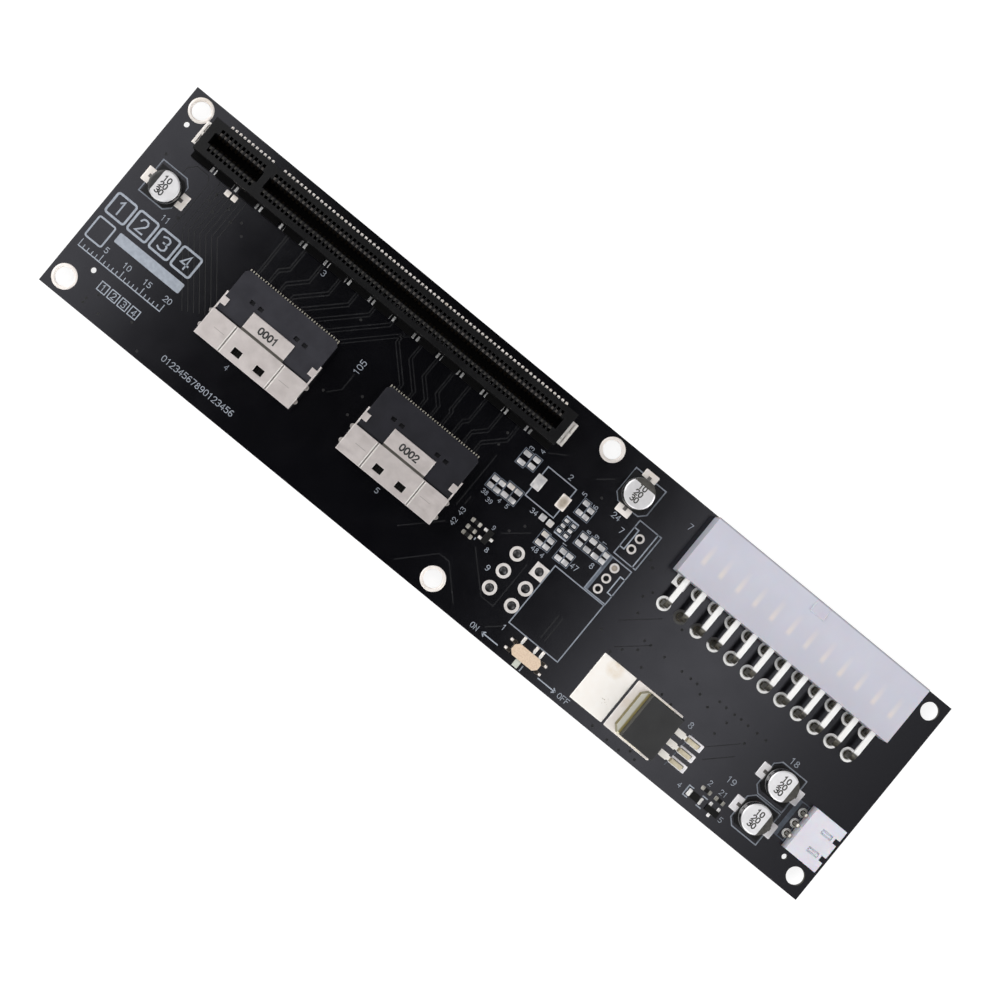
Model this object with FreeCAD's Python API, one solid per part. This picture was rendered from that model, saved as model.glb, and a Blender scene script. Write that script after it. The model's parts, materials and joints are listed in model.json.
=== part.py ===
import FreeCAD, Part
import math
import os

os.makedirs("parts", exist_ok=True)

# Sizes are in millimetres. While building, x is measured from the board's left end, y from its near
# edge and z from its underside. At the end everything moves so that the board's centre is x = y = 0.

# Board
board_width = 47.8
board_top = 1.6
pad_height = 0.07
plating = 0.05
hole_clearance = 0.11
pad_top = board_top + pad_height

# Mounting and tooling holes
mount_hole_r = 1.85
mount_ring_width = 0.7
mount_barrel = 0.25
mount_left = 3.4
mount_right = 3.0
mount_near = 3.55
mount_far = 3.1
mount_mid_far_x = 12.5
mount_mid_near_x = 1.5
tooling_r = 0.575
tooling_left_x = (2.9, 6.9)
tooling_left_far = 6.9
tooling_left_near = 8.0
tooling_right = 7.0
tooling_right_near = 5.1

# Card slot
slot_first_x = 10.2
slot_from_far_edge = 6.3
slot_pitch = 1.0
slot_count_short = 11
slot_count_long = 71
slot_key_gap = 3.0
slot_key_wall = 1.4
slot_end = 2.7
slot_width = 7.3
slot_height = 11.25
slot_floor = 3.2
slot_groove = 1.76
slot_groove_end = 1.05
slot_mouth = 2.48
slot_mouth_depth = 1.0
slot_pocket_width = 0.65
slot_pocket_reach = 2.5
slot_under_gap = 0.9
slot_ledge_out = 1.15
slot_ledge_top = 2.6
slot_window_count = 15
slot_window_pitch = 5.57
slot_window_first = 2.4
slot_window_width = 1.6
contact_width = 0.5
contact_metal = 0.2
contact_stem = 1.55
contact_spring_drop = 5.2
contact_bulge = 0.26
contact_bulge_drop = 2.6
contact_lip_clear = 0.65
contact_lip_length = 0.55
contact_lip_drop = 0.8
contact_tip_drop = 0.5
contact_tail_out = 1.05
hold_down_metal = 0.35
hold_down_foot = 1.8
hold_down_width = 5.2
hold_down_arm = 1.5
hold_down_rise = 1.0
hold_down_slit = 0.22
hold_down_slit_at = 1.05
hold_down_slit_length = 1.8
hold_down_slit_step = 1.25

# Cable ports
port_width = 23.2
port_gap = 11.6
port_from_slot_end = 17.4
port_front = 11.1
port_height = 5.6
port_metal = 0.3
port_roof_depth = 6.0
port_step_down = 0.25
port_step_run = 0.55
port_tab_half = 5.05
port_tab_back = 10.06
port_side_back = 10.2
port_fold_width = 1.46
port_fold_start = 7.47
port_fold_length = 1.6
port_bump_r = 0.55
port_bump_rise = 3.2
port_bump_places = (1.9, 5.3)
port_seam_at = 5.73
port_seam_width = 0.28
port_seam_depth = 0.2
port_slit_width = 0.3
port_slit_depth = 0.6
port_hole_at = 2.7
port_hole_length = 2.0
port_hole_depth = 1.4
port_hole_front = 1.3
port_housing_back = 15.85
port_housing_chamfer = 0.7
port_face_inset = 0.35
port_mouth_half = 9.9
port_mouth_low = 1.0
port_mouth_high = 4.4
port_mouth_depth = 5.2
port_tongue_margin = 0.3
port_tongue_low = 2.2
port_tongue_high = 3.2
port_tongue_front = 1.2
port_mark_places = (-6.4, -4.4, 4.4, 6.4)
port_mark_length = 1.1
port_mark_width = 0.8
port_mark_from_front = 11.3
port_mark_depth = 0.9
port_tail_count = 37
port_tail_pitch = 0.6
port_tail_width = 0.25
port_tail_metal = 0.15
port_tail_rise = 0.6
port_tail_out = 0.5
port_tail_in = 0.65
port_strip_pitch = 0.48
port_strip_metal = 0.08

# Power inlet
inlet_from_slot_end = 39.0
inlet_to_board_end = 10.1
inlet_from_far_edge = 0.4
inlet_columns = 12
inlet_pitch = 4.2
inlet_row_step = 4.2
inlet_end = 2.9
inlet_depth = 13.0
inlet_height = 9.8
inlet_cell = 3.55
inlet_cell_chamfer = 0.9
inlet_cell_corner = 0.2
inlet_cell_depth = 9.5
inlet_pin = 1.1
inlet_pin_short_of_front = 3.0
inlet_bend_r = 1.9
inlet_near_holes = 0.78
inlet_row_holes = 5.5
inlet_latch_width = 3.2
inlet_latch_inset = 0.2
inlet_latch_length = 2.6
inlet_latch_height = 0.3
power_ring_width = 0.6

# Side header
header_from_end = 1.65
header_y = 11.4
header_pitch = 2.5
header_pin_count = 3
header_length = 7.3
header_width = 9.9
header_height = 6.4
header_wall = 0.9
header_cavity_depth = 5.4
header_pin = 0.64
header_pin_z = 3.3
header_pin_behind = 0.65
header_pin_short_of_front = 2.2
header_bend_r = 1.0
header_notch_at = 2.1
header_notch_width = 1.1
header_notch_depth = 1.0
header_recess_start = 1.5
header_recess_length = 2.5
header_recess_depth = 0.45
signal_ring_width = 0.4

# Pins under the board
tail_below = 1.8
solder_below = 1.25
solder_ring_share = 0.85
pin_tip_taper = 0.22

# Electrolytic capacitors
can_r = 3.15
can_top = 5.8
can_bead = 0.28
can_edge = 0.4
cap_base = 6.6
cap_base_height = 1.1
cap_base_chamfer = 1.3
cap_lead_width = 0.7
cap_lead_metal = 0.2
cap_lead_inner = 1.0
cap_lead_reach = 4.1
cap_pad_inner = 1.9
cap_pad_reach = 5.05
cap_pad_width = 3.2
cap_left_x = 7.6
cap_left_y = 28.9
cap_mid_x = 21.55
cap_mid_from_far_edge = 6.6
cap_right_from_end = 16.65
cap_right_y_high = 15.45
cap_right_y_low = 7.3

# Power transistor
power_y = 8.15
power_pad_x0 = 5.74
power_pad_length = 11.13
power_pad_width = 11.05
power_tab_inset = 1.56
power_tab_length = 7.3
power_tab_metal = 1.3
power_tab_corner = 1.2
power_tab_bevel = 0.35
power_body_inset = 3.26
power_body_length = 8.4
power_body_width = 10.2
power_body_height = 4.4
power_body_draft = 0.42
power_lead_pitch = 2.54
power_lead_width = 0.9
power_lead_shoulder = 1.35
power_lead_metal = 0.5
power_lead_z = 2.0
power_lead_inside = 1.0
power_lead_straight = 2.2
power_lead_slope = 0.7
power_lead_foot = 2.6
power_lead_pad_length = 3.8
power_lead_pad_width = 1.65
power_lead_pad_toe = 0.85
power_lead_pad_shift = 0.2
spare_pad_gap = 0.54
spare_pad_length = 7.92
spare_pad_width = 10.98

# Slide switch
switch_x = 24.9
switch_y = 3.25
switch_length = 6.4
switch_width = 2.7
switch_chamfer = 0.75
switch_body_height = 1.1
switch_cover_metal = 0.22
switch_foot_reach = 1.2
switch_foot_strip = 0.15
switch_foot_metal = 0.2
switch_foot_width = 0.75
switch_terminal_places = (-2.26, 0.76, 2.22)
switch_terminal_width = 0.44
switch_terminal_inner = 0.85
switch_terminal_reach = 2.85
switch_terminal_rise = 0.75
lever_travel = 1.3
lever_width = 1.24
lever_block = 1.9
lever_block_front = -0.75
lever_block_back = 0.4
lever_low = 0.35
lever_high = 0.85
lever_tip = -2.9
lever_clearance = 0.15
wiper_metal = 0.08
wiper_inset = 0.12

# Chip parts
chip_mid_x = 1.13
chip_mid_y = (17.27, 15.66, 14.3)
chip_right_from_end = (26.92, 23.65)
chip_right_y = 5.45
chip_length = 1.6
chip_width = 0.8
chip_height = 0.45
chip_end = 0.3
chip_pad_length = 0.8
chip_pad_width = 0.9
small_mid_x = 4.45
small_mid_y = 16.36
small_right_from_end = 23.64
small_right_y = 2.99
small_body_long = 2.9
small_body_short = 1.3
small_body_height = 1.0
small_body_lift = 0.1
small_lead_spread = 0.95
small_lead_width = 0.45
small_lead_reach = 0.65
small_lead_metal = 0.15
small_lead_rise = 0.55
diode_from_end = 27.92
diode_y = 3.09
diode_long = 2.0
diode_short = 1.5
diode_lead_width = 1.3
small_pad_margin = 0.2

# Unfitted footprints
spare_power_x = (11.03, 16.53)
spare_power_y = (17.54, 13.34, 9.14)
spare_triple_x = 27.33
spare_triple_y = (27.3, 24.76, 22.22)
spare_pair_x = 27.52
spare_pair_y = (34.74, 32.2)
plug_share = 0.6
empty_pad_height = 1.0
filter_pad_x = (10.4, 12.21)
filter_pad_y = 26.08
filter_pad_size = 1.3
sixpad_x = (14.42, 16.13)
sixpad_y = (28.55, 27.35, 26.13)
sixpad_length = 0.9
sixpad_width = 0.65
coil_pad_x = (5.5, 11.6)
coil_pad_y = 30.8
coil_pad_length = 2.1
coil_pad_width = 3.0
strap_pad_x = (7.16, 8.76)
strap_pad_below_slot = 5.8
strap_pad_size = 1.2
# Unfitted chips: x from the end of the slot, y, pad distance, pad width
empty_chips = (
    (0.37, 32.73, 2.02, 1.6), (2.48, 33.13, 1.61, 1.45), (15.2, 32.42, 2.21, 1.3),
    (16.76, 32.12, 1.61, 1.3), (-1.41, 25.37, 1.61, 1.3), (0.19, 25.37, 1.61, 1.3),
    (1.9, 25.83, 2.02, 1.45), (3.71, 25.83, 2.02, 1.45), (12.87, 22.88, 1.96, 1.4),
    (14.48, 22.8, 1.51, 1.3), (17.6, 22.75, 1.61, 1.35), (19.21, 22.8, 1.51, 1.35),
    (18.94, 27.48, 1.61, 1.45), (20.9, 27.69, 2.02, 1.5), (22.86, 27.69, 2.02, 1.5),
    (24.53, 27.48, 1.41, 1.25))


def vector(x, y, z):
    return FreeCAD.Vector(x, y, z)


def box(x0, x1, y0, y1, z0, z1):
    return Part.makeBox(x1 - x0, y1 - y0, z1 - z0, vector(x0, y0, z0))


def slab(x, y, size_x, size_y, z0, z1):
    return box(x - size_x / 2, x + size_x / 2, y - size_y / 2, y + size_y / 2, z0, z1)


def rod(x, y, r, z0, z1):
    return Part.makeCylinder(r, z1 - z0, vector(x, y, z0))


def prism(corners, direction):
    return Part.Face(Part.makePolygon(corners + corners[:1])).extrude(direction)


def prism_x(yz, x0, x1):
    return prism([vector(x0, y, z) for y, z in yz], vector(x1 - x0, 0, 0))


def prism_y(xz, y0, y1):
    return prism([vector(x, y0, z) for x, z in xz], vector(0, y1 - y0, 0))


def prism_z(xy, z0, z1):
    return prism([vector(x, y, z0) for x, y in xy], vector(0, 0, z1 - z0))


def turned(rz, x, y):
    corners = [vector(r, 0, z) for r, z in rz]
    face = Part.Face(Part.makePolygon(corners + corners[:1]))
    solid = face.revolve(vector(0, 0, 0), vector(0, 0, 1), 360)
    return solid.translated(vector(x, y, 0))


def joined(shapes):
    return shapes[0].fuse(shapes[1:]).removeSplitter()


def placed(shape, x, y, angle):
    turned_shape = shape.copy()
    turned_shape.rotate(vector(0, 0, 0), vector(0, 0, 1), angle)
    return turned_shape.translated(vector(x, y, 0))


def octagon(length, width, chamfer):
    a = length / 2
    b = width / 2
    return [(-a + chamfer, -b), (a - chamfer, -b), (a, -b + chamfer), (a, b - chamfer),
            (a - chamfer, b), (-a + chamfer, b), (-a, b - chamfer), (-a, -b + chamfer)]


def eyelet(x, y, hole_r, wall, ring_r, square):
    # The ring below lies flush in the underside; the ring on top stands one pad height proud.
    barrel_r = hole_r + wall
    shape = turned([(hole_r, 0), (ring_r, 0), (ring_r, pad_height), (barrel_r, pad_height),
                    (barrel_r, board_top), (ring_r, board_top), (ring_r, pad_top), (hole_r, pad_top)], x, y)
    if square:
        corner = slab(x, y, 2 * ring_r, 2 * ring_r, board_top, pad_top)
        shape = shape.fuse(corner.cut(rod(x, y, hole_r, board_top, pad_top)))
    return shape


def bent_pin(tip, row_z, hole, side, bend_r):
    # Square pin in the plane x = 0: its tip points to +y at height row_z, its tail goes down at y = hole.
    low = row_z - side / 2
    high = row_z + side / 2
    fore = hole + side / 2
    back = hole - side / 2
    end = -tail_below
    taper = pin_tip_taper * side
    inner_r = bend_r - side
    centre_y = fore + inner_r
    centre_z = low - inner_r
    slant = math.sqrt(0.5)
    inner_mid = vector(0, centre_y - inner_r * slant, centre_z + inner_r * slant)
    outer_mid = vector(0, centre_y - bend_r * slant, centre_z + bend_r * slant)
    inner_start = vector(0, centre_y, low)
    inner_end = vector(0, fore, centre_z)
    outer_start = vector(0, back, centre_z)
    outer_end = vector(0, centre_y, high)
    tail = [inner_end, vector(0, fore, end + taper), vector(0, fore - taper, end),
            vector(0, back + taper, end), vector(0, back, end + taper), outer_start]
    nose = [outer_end, vector(0, tip - taper, high), vector(0, tip, high - taper),
            vector(0, tip, low + taper), vector(0, tip - taper, low), inner_start]
    edges = [Part.Arc(inner_start, inner_mid, inner_end).toShape()]
    edges += Part.makePolygon(tail).Edges
    edges += [Part.Arc(outer_start, outer_mid, outer_end).toShape()]
    edges += Part.makePolygon(nose).Edges
    pin = Part.Face(Part.Wire(edges)).extrude(vector(side, 0, 0))
    return pin.translated(vector(-side / 2, 0, 0))


def solder_cone(x, y, side, ring_r):
    cone = Part.makeCone(ring_r * solder_ring_share, side, solder_below, vector(x, y, 0), vector(0, 0, -1))
    return cone.cut(slab(x, y, side, side, -tail_below, 0))


pieces = {}

# Positions that follow from the sizes above
slot_key_x0 = slot_first_x + (slot_count_short - 1) * slot_pitch
slot_key_x1 = slot_key_x0 + slot_key_gap
slot_last_x = slot_key_x1 + (slot_count_long - 1) * slot_pitch
slot_y = board_width - slot_from_far_edge
hub_x = slot_last_x
inlet_first_x = hub_x + inlet_from_slot_end
inlet_last_x = inlet_first_x + (inlet_columns - 1) * inlet_pitch
board_length = inlet_last_x + inlet_to_board_end
board_end = board_length

power_hole_r = inlet_pin * math.sqrt(0.5) + hole_clearance
power_ring_r = power_hole_r + power_ring_width
signal_hole_r = header_pin * math.sqrt(0.5) + hole_clearance
signal_ring_r = signal_hole_r + signal_ring_width
mount_ring_r = mount_hole_r + mount_ring_width

mount_y = (mount_near, board_width - mount_far)
ringed_mounts = [(mount_left, mount_y[0]), (mount_left, mount_y[1]),
                 (hub_x + mount_mid_far_x, mount_y[1]), (hub_x + mount_mid_near_x, mount_y[0])]
plain_mounts = [(board_end - mount_right, mount_y[0]), (board_end - mount_right, mount_y[1])]
tooling_holes = [(tooling_left_x[0], board_width - tooling_left_far), (tooling_left_x[1], tooling_left_near),
                 (board_end - tooling_right, tooling_right_near)]

inlet_front = board_width - inlet_from_far_edge
inlet_back = inlet_front - inlet_depth
inlet_holes_low = inlet_back - inlet_near_holes
inlet_holes_high = inlet_holes_low - inlet_row_holes
inlet_x = [inlet_first_x + n * inlet_pitch for n in range(inlet_columns)]

header_front = board_end - header_from_end
header_back = header_front - header_length
header_hole_x = header_back - header_pin_behind
header_pin_y = [header_y + (n - (header_pin_count - 1) / 2) * header_pitch for n in range(header_pin_count)]

# Plated holes: x, y, hole radius, ring radius, square pad, fill height (None where a pin goes through)
full = board_top
sunk = plug_share * board_top
holes = []
for x in inlet_x:
    holes.append((x, inlet_holes_high, power_hole_r, power_ring_r, False, None))
    holes.append((x, inlet_holes_low, power_hole_r, power_ring_r, x == inlet_first_x, None))
for y in header_pin_y:
    holes.append((header_hole_x, y, signal_hole_r, signal_ring_r, False, None))
for row, y in enumerate(spare_power_y):
    for column, x in enumerate(spare_power_x):
        first = row == 0 and column == 1
        holes.append((hub_x + x, y, power_hole_r, power_ring_r, first, sunk))
for row, y in enumerate(spare_triple_y):
    holes.append((hub_x + spare_triple_x, y, signal_hole_r, signal_ring_r, False, full if row == 0 else sunk))
for y in spare_pair_y:
    holes.append((hub_x + spare_pair_x, y, signal_hole_r, signal_ring_r, False, sunk))

# Circuit board
drills = [rod(x, y, mount_hole_r, 0, board_top) for x, y in plain_mounts]
drills += [rod(x, y, tooling_r, 0, board_top) for x, y in tooling_holes]
eyelets = [(x, y, mount_hole_r + mount_barrel, mount_ring_r) for x, y in ringed_mounts]
eyelets += [(x, y, hole_r + plating, ring_r) for x, y, hole_r, ring_r, square, fill in holes]
for x, y, drill_r, ring_r in eyelets:
    drills.append(rod(x, y, drill_r, 0, board_top))
    drills.append(rod(x, y, ring_r, 0, pad_height))
pieces["circuit_board"] = [box(0, board_length, 0, board_width, 0, board_top).cut(drills)]
pieces["mounting_rings"] = [eyelet(x, y, mount_hole_r, mount_barrel, mount_ring_r, False)
                            for x, y in ringed_mounts]
pieces["plated_holes"] = [eyelet(x, y, hole_r, plating, ring_r, square)
                          for x, y, hole_r, ring_r, square, fill in holes]
pieces["hole_plugs"] = [rod(x, y, hole_r, 0, fill)
                        for x, y, hole_r, ring_r, square, fill in holes if fill]

# Pads of unfitted parts
bare_pads = []
for chip_x, chip_y, pad_step, pad_width in empty_chips:
    for side in (-0.5, 0.5):
        bare_pads.append((hub_x + chip_x, chip_y + side * pad_step, pad_width, empty_pad_height))
for pad_x in filter_pad_x:
    bare_pads.append((hub_x + pad_x, filter_pad_y, filter_pad_size, filter_pad_size))
for pad_x in sixpad_x:
    for pad_y in sixpad_y:
        bare_pads.append((hub_x + pad_x, pad_y, sixpad_length, sixpad_width))
for pad_x in coil_pad_x:
    bare_pads.append((hub_x + pad_x, coil_pad_y, coil_pad_length, coil_pad_width))
for pad_x in strap_pad_x:
    bare_pads.append((slot_first_x + pad_x, slot_y - strap_pad_below_slot, strap_pad_size, strap_pad_size))
power_x0 = inlet_first_x + power_pad_x0
spare_pad_x = power_x0 - spare_pad_gap - spare_pad_length / 2
bare_pads.append((spare_pad_x, power_y, spare_pad_length, spare_pad_width))
pieces["bare_pads"] = [slab(x, y, sx, sy, board_top, pad_top) for x, y, sx, sy in bare_pads]

# Pads under fitted parts are collected here: x, y, size along x, size along y
part_pads = []

# Card slot
slot_x0 = slot_first_x - slot_end
slot_x1 = slot_last_x + slot_end
slot_top = board_top + slot_height
slot_contact_x = [slot_first_x + n * slot_pitch for n in range(slot_count_short)]
slot_contact_x += [slot_key_x1 + n * slot_pitch for n in range(slot_count_long)]
key_x = (slot_key_x0 + slot_key_x1) / 2
groove_half = slot_groove / 2
mouth_half = slot_mouth / 2
mouth_z = slot_top - slot_mouth_depth
groove_z = board_top + slot_floor
groove = [(slot_y - mouth_half, slot_top), (slot_y - groove_half, mouth_z), (slot_y - groove_half, groove_z),
          (slot_y + groove_half, groove_z), (slot_y + groove_half, mouth_z), (slot_y + mouth_half, slot_top)]
slot_half = slot_width / 2
under_z = board_top + slot_under_gap
row_x0 = slot_first_x - slot_pitch
row_x1 = slot_last_x + slot_pitch
ledge_y = slot_y - slot_half - slot_ledge_out
slot_block = joined([
    box(slot_x0, slot_x1, slot_y - slot_half, slot_y + slot_half, board_top, slot_top),
    box(slot_x0, slot_x1, ledge_y, slot_y - slot_half, board_top, board_top + slot_ledge_top)])
slot_cuts = [prism_x(groove, slot_first_x - slot_groove_end, key_x - slot_key_wall / 2),
             prism_x(groove, key_x + slot_key_wall / 2, slot_last_x + slot_groove_end),
             box(row_x0, row_x1, ledge_y, slot_y - groove_half, board_top, under_z),
             box(row_x0, row_x1, slot_y + groove_half, slot_y + slot_half, board_top, under_z)]
for x in slot_contact_x:
    pocket_x0 = x - slot_pocket_width / 2
    pocket_x1 = x + slot_pocket_width / 2
    slot_cuts.append(box(pocket_x0, pocket_x1, slot_y - slot_pocket_reach, slot_y - groove_half,
                         under_z, slot_top))
    slot_cuts.append(box(pocket_x0, pocket_x1, slot_y + groove_half, slot_y + slot_pocket_reach,
                         under_z, slot_top))
for n in range(slot_window_count):
    window_x = slot_first_x + slot_window_first + n * slot_window_pitch
    window_x0 = window_x - slot_window_width / 2
    slot_cuts.append(box(window_x0, window_x0 + slot_window_width, ledge_y, slot_y - slot_half,
                         under_z, board_top + slot_ledge_top))
pieces["slot_housing"] = [slot_block.cut(slot_cuts)]

# A contact stands in its pocket, bulges into the groove and curls outwards into a lip at the mouth.
spring_z = slot_top - contact_spring_drop
bulge_y = groove_half - contact_bulge
bulge_z = slot_top - contact_bulge_drop
lip_out = slot_pocket_reach - contact_lip_clear
lip_in = lip_out - contact_lip_length
lip_z = slot_top - contact_lip_drop
tip_z = slot_top - contact_tip_drop
contact_foot_z = board_top + contact_metal
contact_tail = slot_half + contact_tail_out
contact_back = contact_stem + contact_metal
contact_path = [(contact_tail, board_top), (contact_tail, contact_foot_z), (contact_back, contact_foot_z),
                (contact_back, spring_z), (bulge_y + contact_metal, bulge_z),
                (lip_in + contact_metal / 2, lip_z - contact_metal), (lip_out, tip_z - contact_metal),
                (lip_out, tip_z), (lip_in, lip_z), (bulge_y, bulge_z), (contact_stem, spring_z),
                (contact_stem, board_top)]
for row_name, row_side in (("near", -1), ("far", 1)):
    path = [(slot_y + row_side * y, z) for y, z in contact_path]
    pieces["slot_contacts_" + row_name] = [
        prism_x(path, x - contact_width / 2, x + contact_width / 2) for x in slot_contact_x]

hold_down_wall = hold_down_arm - hold_down_metal
hold_down_under = hold_down_rise - hold_down_metal
hold_down_path = [(0, hold_down_under), (hold_down_wall, hold_down_under), (hold_down_wall, 0),
                  (hold_down_foot, 0), (hold_down_foot, hold_down_metal), (hold_down_arm, hold_down_metal),
                  (hold_down_arm, hold_down_rise), (0, hold_down_rise)]
hold_downs = []
for end_x, outward in ((slot_x0, -1), (slot_x1, 1)):
    path = [(end_x + outward * x, pad_top + z) for x, z in hold_down_path]
    bracket = prism_y(path, slot_y - hold_down_width / 2, slot_y + hold_down_width / 2)
    slit_x = end_x + outward * hold_down_slit_at
    slits = [slab(slit_x, slot_y + side * hold_down_slit_step, hold_down_slit, hold_down_slit_length,
                  pad_top + hold_down_under, pad_top + hold_down_rise) for side in (-1, 1)]
    hold_downs.append(bracket.cut(slits))
    part_pads.append((end_x + outward * hold_down_foot / 2, slot_y, hold_down_foot, hold_down_width))
pieces["slot_hold_downs"] = hold_downs

# Cable ports: u across, v back from the port's face
port_half = port_width / 2
port_inner = port_half - port_metal
port_top = board_top + port_height
port_under_roof = port_top - port_metal
rear_skin_z = port_top - port_step_down
rear_top = rear_skin_z - port_metal
tail_face = port_housing_back - port_tail_in


def port_shell():
    roof = box(-port_half, port_half, 0, port_roof_depth, port_under_roof, port_top)
    step_end = port_roof_depth + port_step_run
    tab = prism_x([(port_roof_depth - port_metal, port_under_roof), (port_roof_depth - port_metal, port_top),
                   (port_roof_depth, port_top), (step_end, rear_skin_z), (port_tab_back, rear_skin_z),
                   (port_tab_back, rear_top), (step_end, rear_top), (port_roof_depth, port_under_roof)],
                  -port_tab_half, port_tab_half)
    parts = [roof, tab]
    fold_end = port_fold_start + port_fold_length
    for side in (-1, 1):
        outer = side * port_half
        inner = side * port_inner
        low = min(outer, inner)
        high = max(outer, inner)
        parts.append(box(low, high, 0, port_roof_depth, board_top, port_top))
        parts.append(box(low, high, port_roof_depth, port_side_back, board_top, rear_top))
        fold = sorted((outer, outer - side * port_fold_width))
        parts.append(box(fold[0], fold[1], port_fold_start, fold_end, rear_top, rear_skin_z))
        for v in port_bump_places:
            bump = rod(outer, v, port_bump_r, board_top, board_top + port_bump_rise)
            inside = box(-port_inner, port_inner, v - port_bump_r, v + port_bump_r, board_top, port_top)
            parts.append(bump.cut(inside))
    cuts = []
    for side in (-1, 1):
        seam = side * port_seam_at
        hole = side * port_hole_at
        cuts.append(box(seam - port_seam_width / 2, seam + port_seam_width / 2, 0, port_roof_depth,
                        port_top - port_seam_depth, port_top))
        cuts.append(box(hole - port_hole_length / 2, hole + port_hole_length / 2, port_hole_front,
                        port_hole_front + port_hole_depth, port_under_roof, port_top))
    return joined(parts).cut(cuts)


def port_housing():
    front = box(-port_inner, port_inner, port_face_inset, port_roof_depth, board_top, port_under_roof)
    mouth = box(-port_mouth_half, port_mouth_half, port_face_inset, port_mouth_depth,
                board_top + port_mouth_low, board_top + port_mouth_high)
    a = port_inner
    c = port_housing_chamfer
    outline = [(-a, port_roof_depth), (a, port_roof_depth), (a, port_housing_back - c),
               (a - c, port_housing_back), (-a + c, port_housing_back), (-a, port_housing_back - c)]
    rear = prism_z(outline, board_top, rear_top)
    step_room = prism_x([(port_roof_depth, rear_top), (port_roof_depth, port_under_roof),
                         (port_roof_depth + port_step_run, rear_top)], -port_tab_half, port_tab_half)
    tongue_half = port_tail_count * port_strip_pitch / 2 + port_tongue_margin
    tongue = box(-tongue_half, tongue_half, port_tongue_front, port_mouth_depth,
                 board_top + port_tongue_low, board_top + port_tongue_high)
    shape = joined([front.cut(mouth), rear, step_room, tongue])
    tail_half = port_tail_count * port_tail_pitch / 2
    cuts = [box(-tail_half, tail_half, tail_face, port_housing_back, board_top, board_top + port_tail_rise)]
    for u in port_mark_places:
        cuts.append(slab(u, port_mark_from_front, port_mark_length, port_mark_width,
                         rear_top - port_mark_depth, rear_top))
    slit_end = port_roof_depth + port_slit_width
    for u0, u1 in ((-port_inner, -port_tab_half), (port_tab_half, port_inner)):
        cuts.append(box(u0, u1, port_roof_depth, slit_end, rear_top - port_slit_depth, rear_top))
    for hole in (-port_hole_at, port_hole_at):
        cuts.append(box(hole - port_hole_length / 2, hole + port_hole_length / 2, port_hole_front,
                        port_hole_front + port_hole_depth, board_top + port_mouth_high, port_under_roof))
    return shape.cut(cuts)


def port_contacts():
    foot_z = board_top + port_tail_metal
    knee = tail_face + port_tail_metal
    end = port_housing_back + port_tail_out
    top = board_top + port_tail_rise
    path = [(tail_face, board_top), (end, board_top), (end, foot_z), (knee, foot_z), (knee, top),
            (tail_face, top)]
    upper = board_top + port_tongue_high
    lower = board_top + port_tongue_low
    solids = []
    for n in range(port_tail_count):
        place = n - (port_tail_count - 1) / 2
        u = place * port_tail_pitch
        solids.append(prism_x(path, u - port_tail_width / 2, u + port_tail_width / 2))
        strip_x0 = place * port_strip_pitch - port_tail_width / 2
        for z in (upper, lower - port_strip_metal):
            solids.append(box(strip_x0, strip_x0 + port_tail_width, port_tongue_front, port_mouth_depth,
                              z, z + port_strip_metal))
    return solids


port_2_x = hub_x - port_from_slot_end
port_1_x = port_2_x - port_width - port_gap
for name, x in (("port_1", port_1_x), ("port_2", port_2_x)):
    pieces[name + "_housing"] = [placed(port_housing(), x, port_front, 0)]
    pieces[name + "_shell"] = [placed(port_shell(), x, port_front, 0)]
    pieces[name + "_contacts"] = [placed(solid, x, port_front, 0) for solid in port_contacts()]

# Power inlet
inlet_mid_z = board_top + inlet_height / 2
inlet_top = board_top + inlet_height
inlet_tip = inlet_front - inlet_pin_short_of_front
row_z_low = inlet_mid_z - inlet_row_step / 2
row_z_high = inlet_mid_z + inlet_row_step / 2
pin_high = bent_pin(inlet_tip, row_z_high, inlet_holes_high, inlet_pin, inlet_bend_r)
pin_low = bent_pin(inlet_tip, row_z_low, inlet_holes_low, inlet_pin, inlet_bend_r)
pieces["power_inlet_upper_pins"] = [pin_high.translated(vector(x, 0, 0)) for x in inlet_x]
pieces["power_inlet_lower_pins"] = [pin_low.translated(vector(x, 0, 0)) for x in inlet_x]
inlet_x0 = inlet_first_x - inlet_end
inlet_x1 = inlet_last_x + inlet_end
inlet_mid_x = (inlet_x0 + inlet_x1) / 2
latch_front = inlet_front - inlet_latch_inset
latch_back = latch_front - inlet_latch_length
inlet_block = joined([
    box(inlet_x0, inlet_x1, inlet_back, inlet_front, pad_top, inlet_top),
    prism_x([(latch_front, inlet_top), (latch_back, inlet_top), (latch_back, inlet_top + inlet_latch_height)],
            inlet_mid_x - inlet_latch_width / 2, inlet_mid_x + inlet_latch_width / 2)])
square_cell = octagon(inlet_cell, inlet_cell, inlet_cell_corner)
keyed_cell = octagon(inlet_cell, inlet_cell, inlet_cell_chamfer)
inlet_cuts = []
for n, x in enumerate(inlet_x):
    for row, row_z in enumerate((row_z_low, row_z_high)):
        outline = keyed_cell if (n + row) % 2 else square_cell
        cell = [(x + u, row_z + w) for u, w in outline]
        inlet_cuts.append(prism_y(cell, inlet_front - inlet_cell_depth, inlet_front))
inlet_cuts += pieces["power_inlet_upper_pins"] + pieces["power_inlet_lower_pins"]
pieces["power_inlet_housing"] = [inlet_block.cut(inlet_cuts)]

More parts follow.
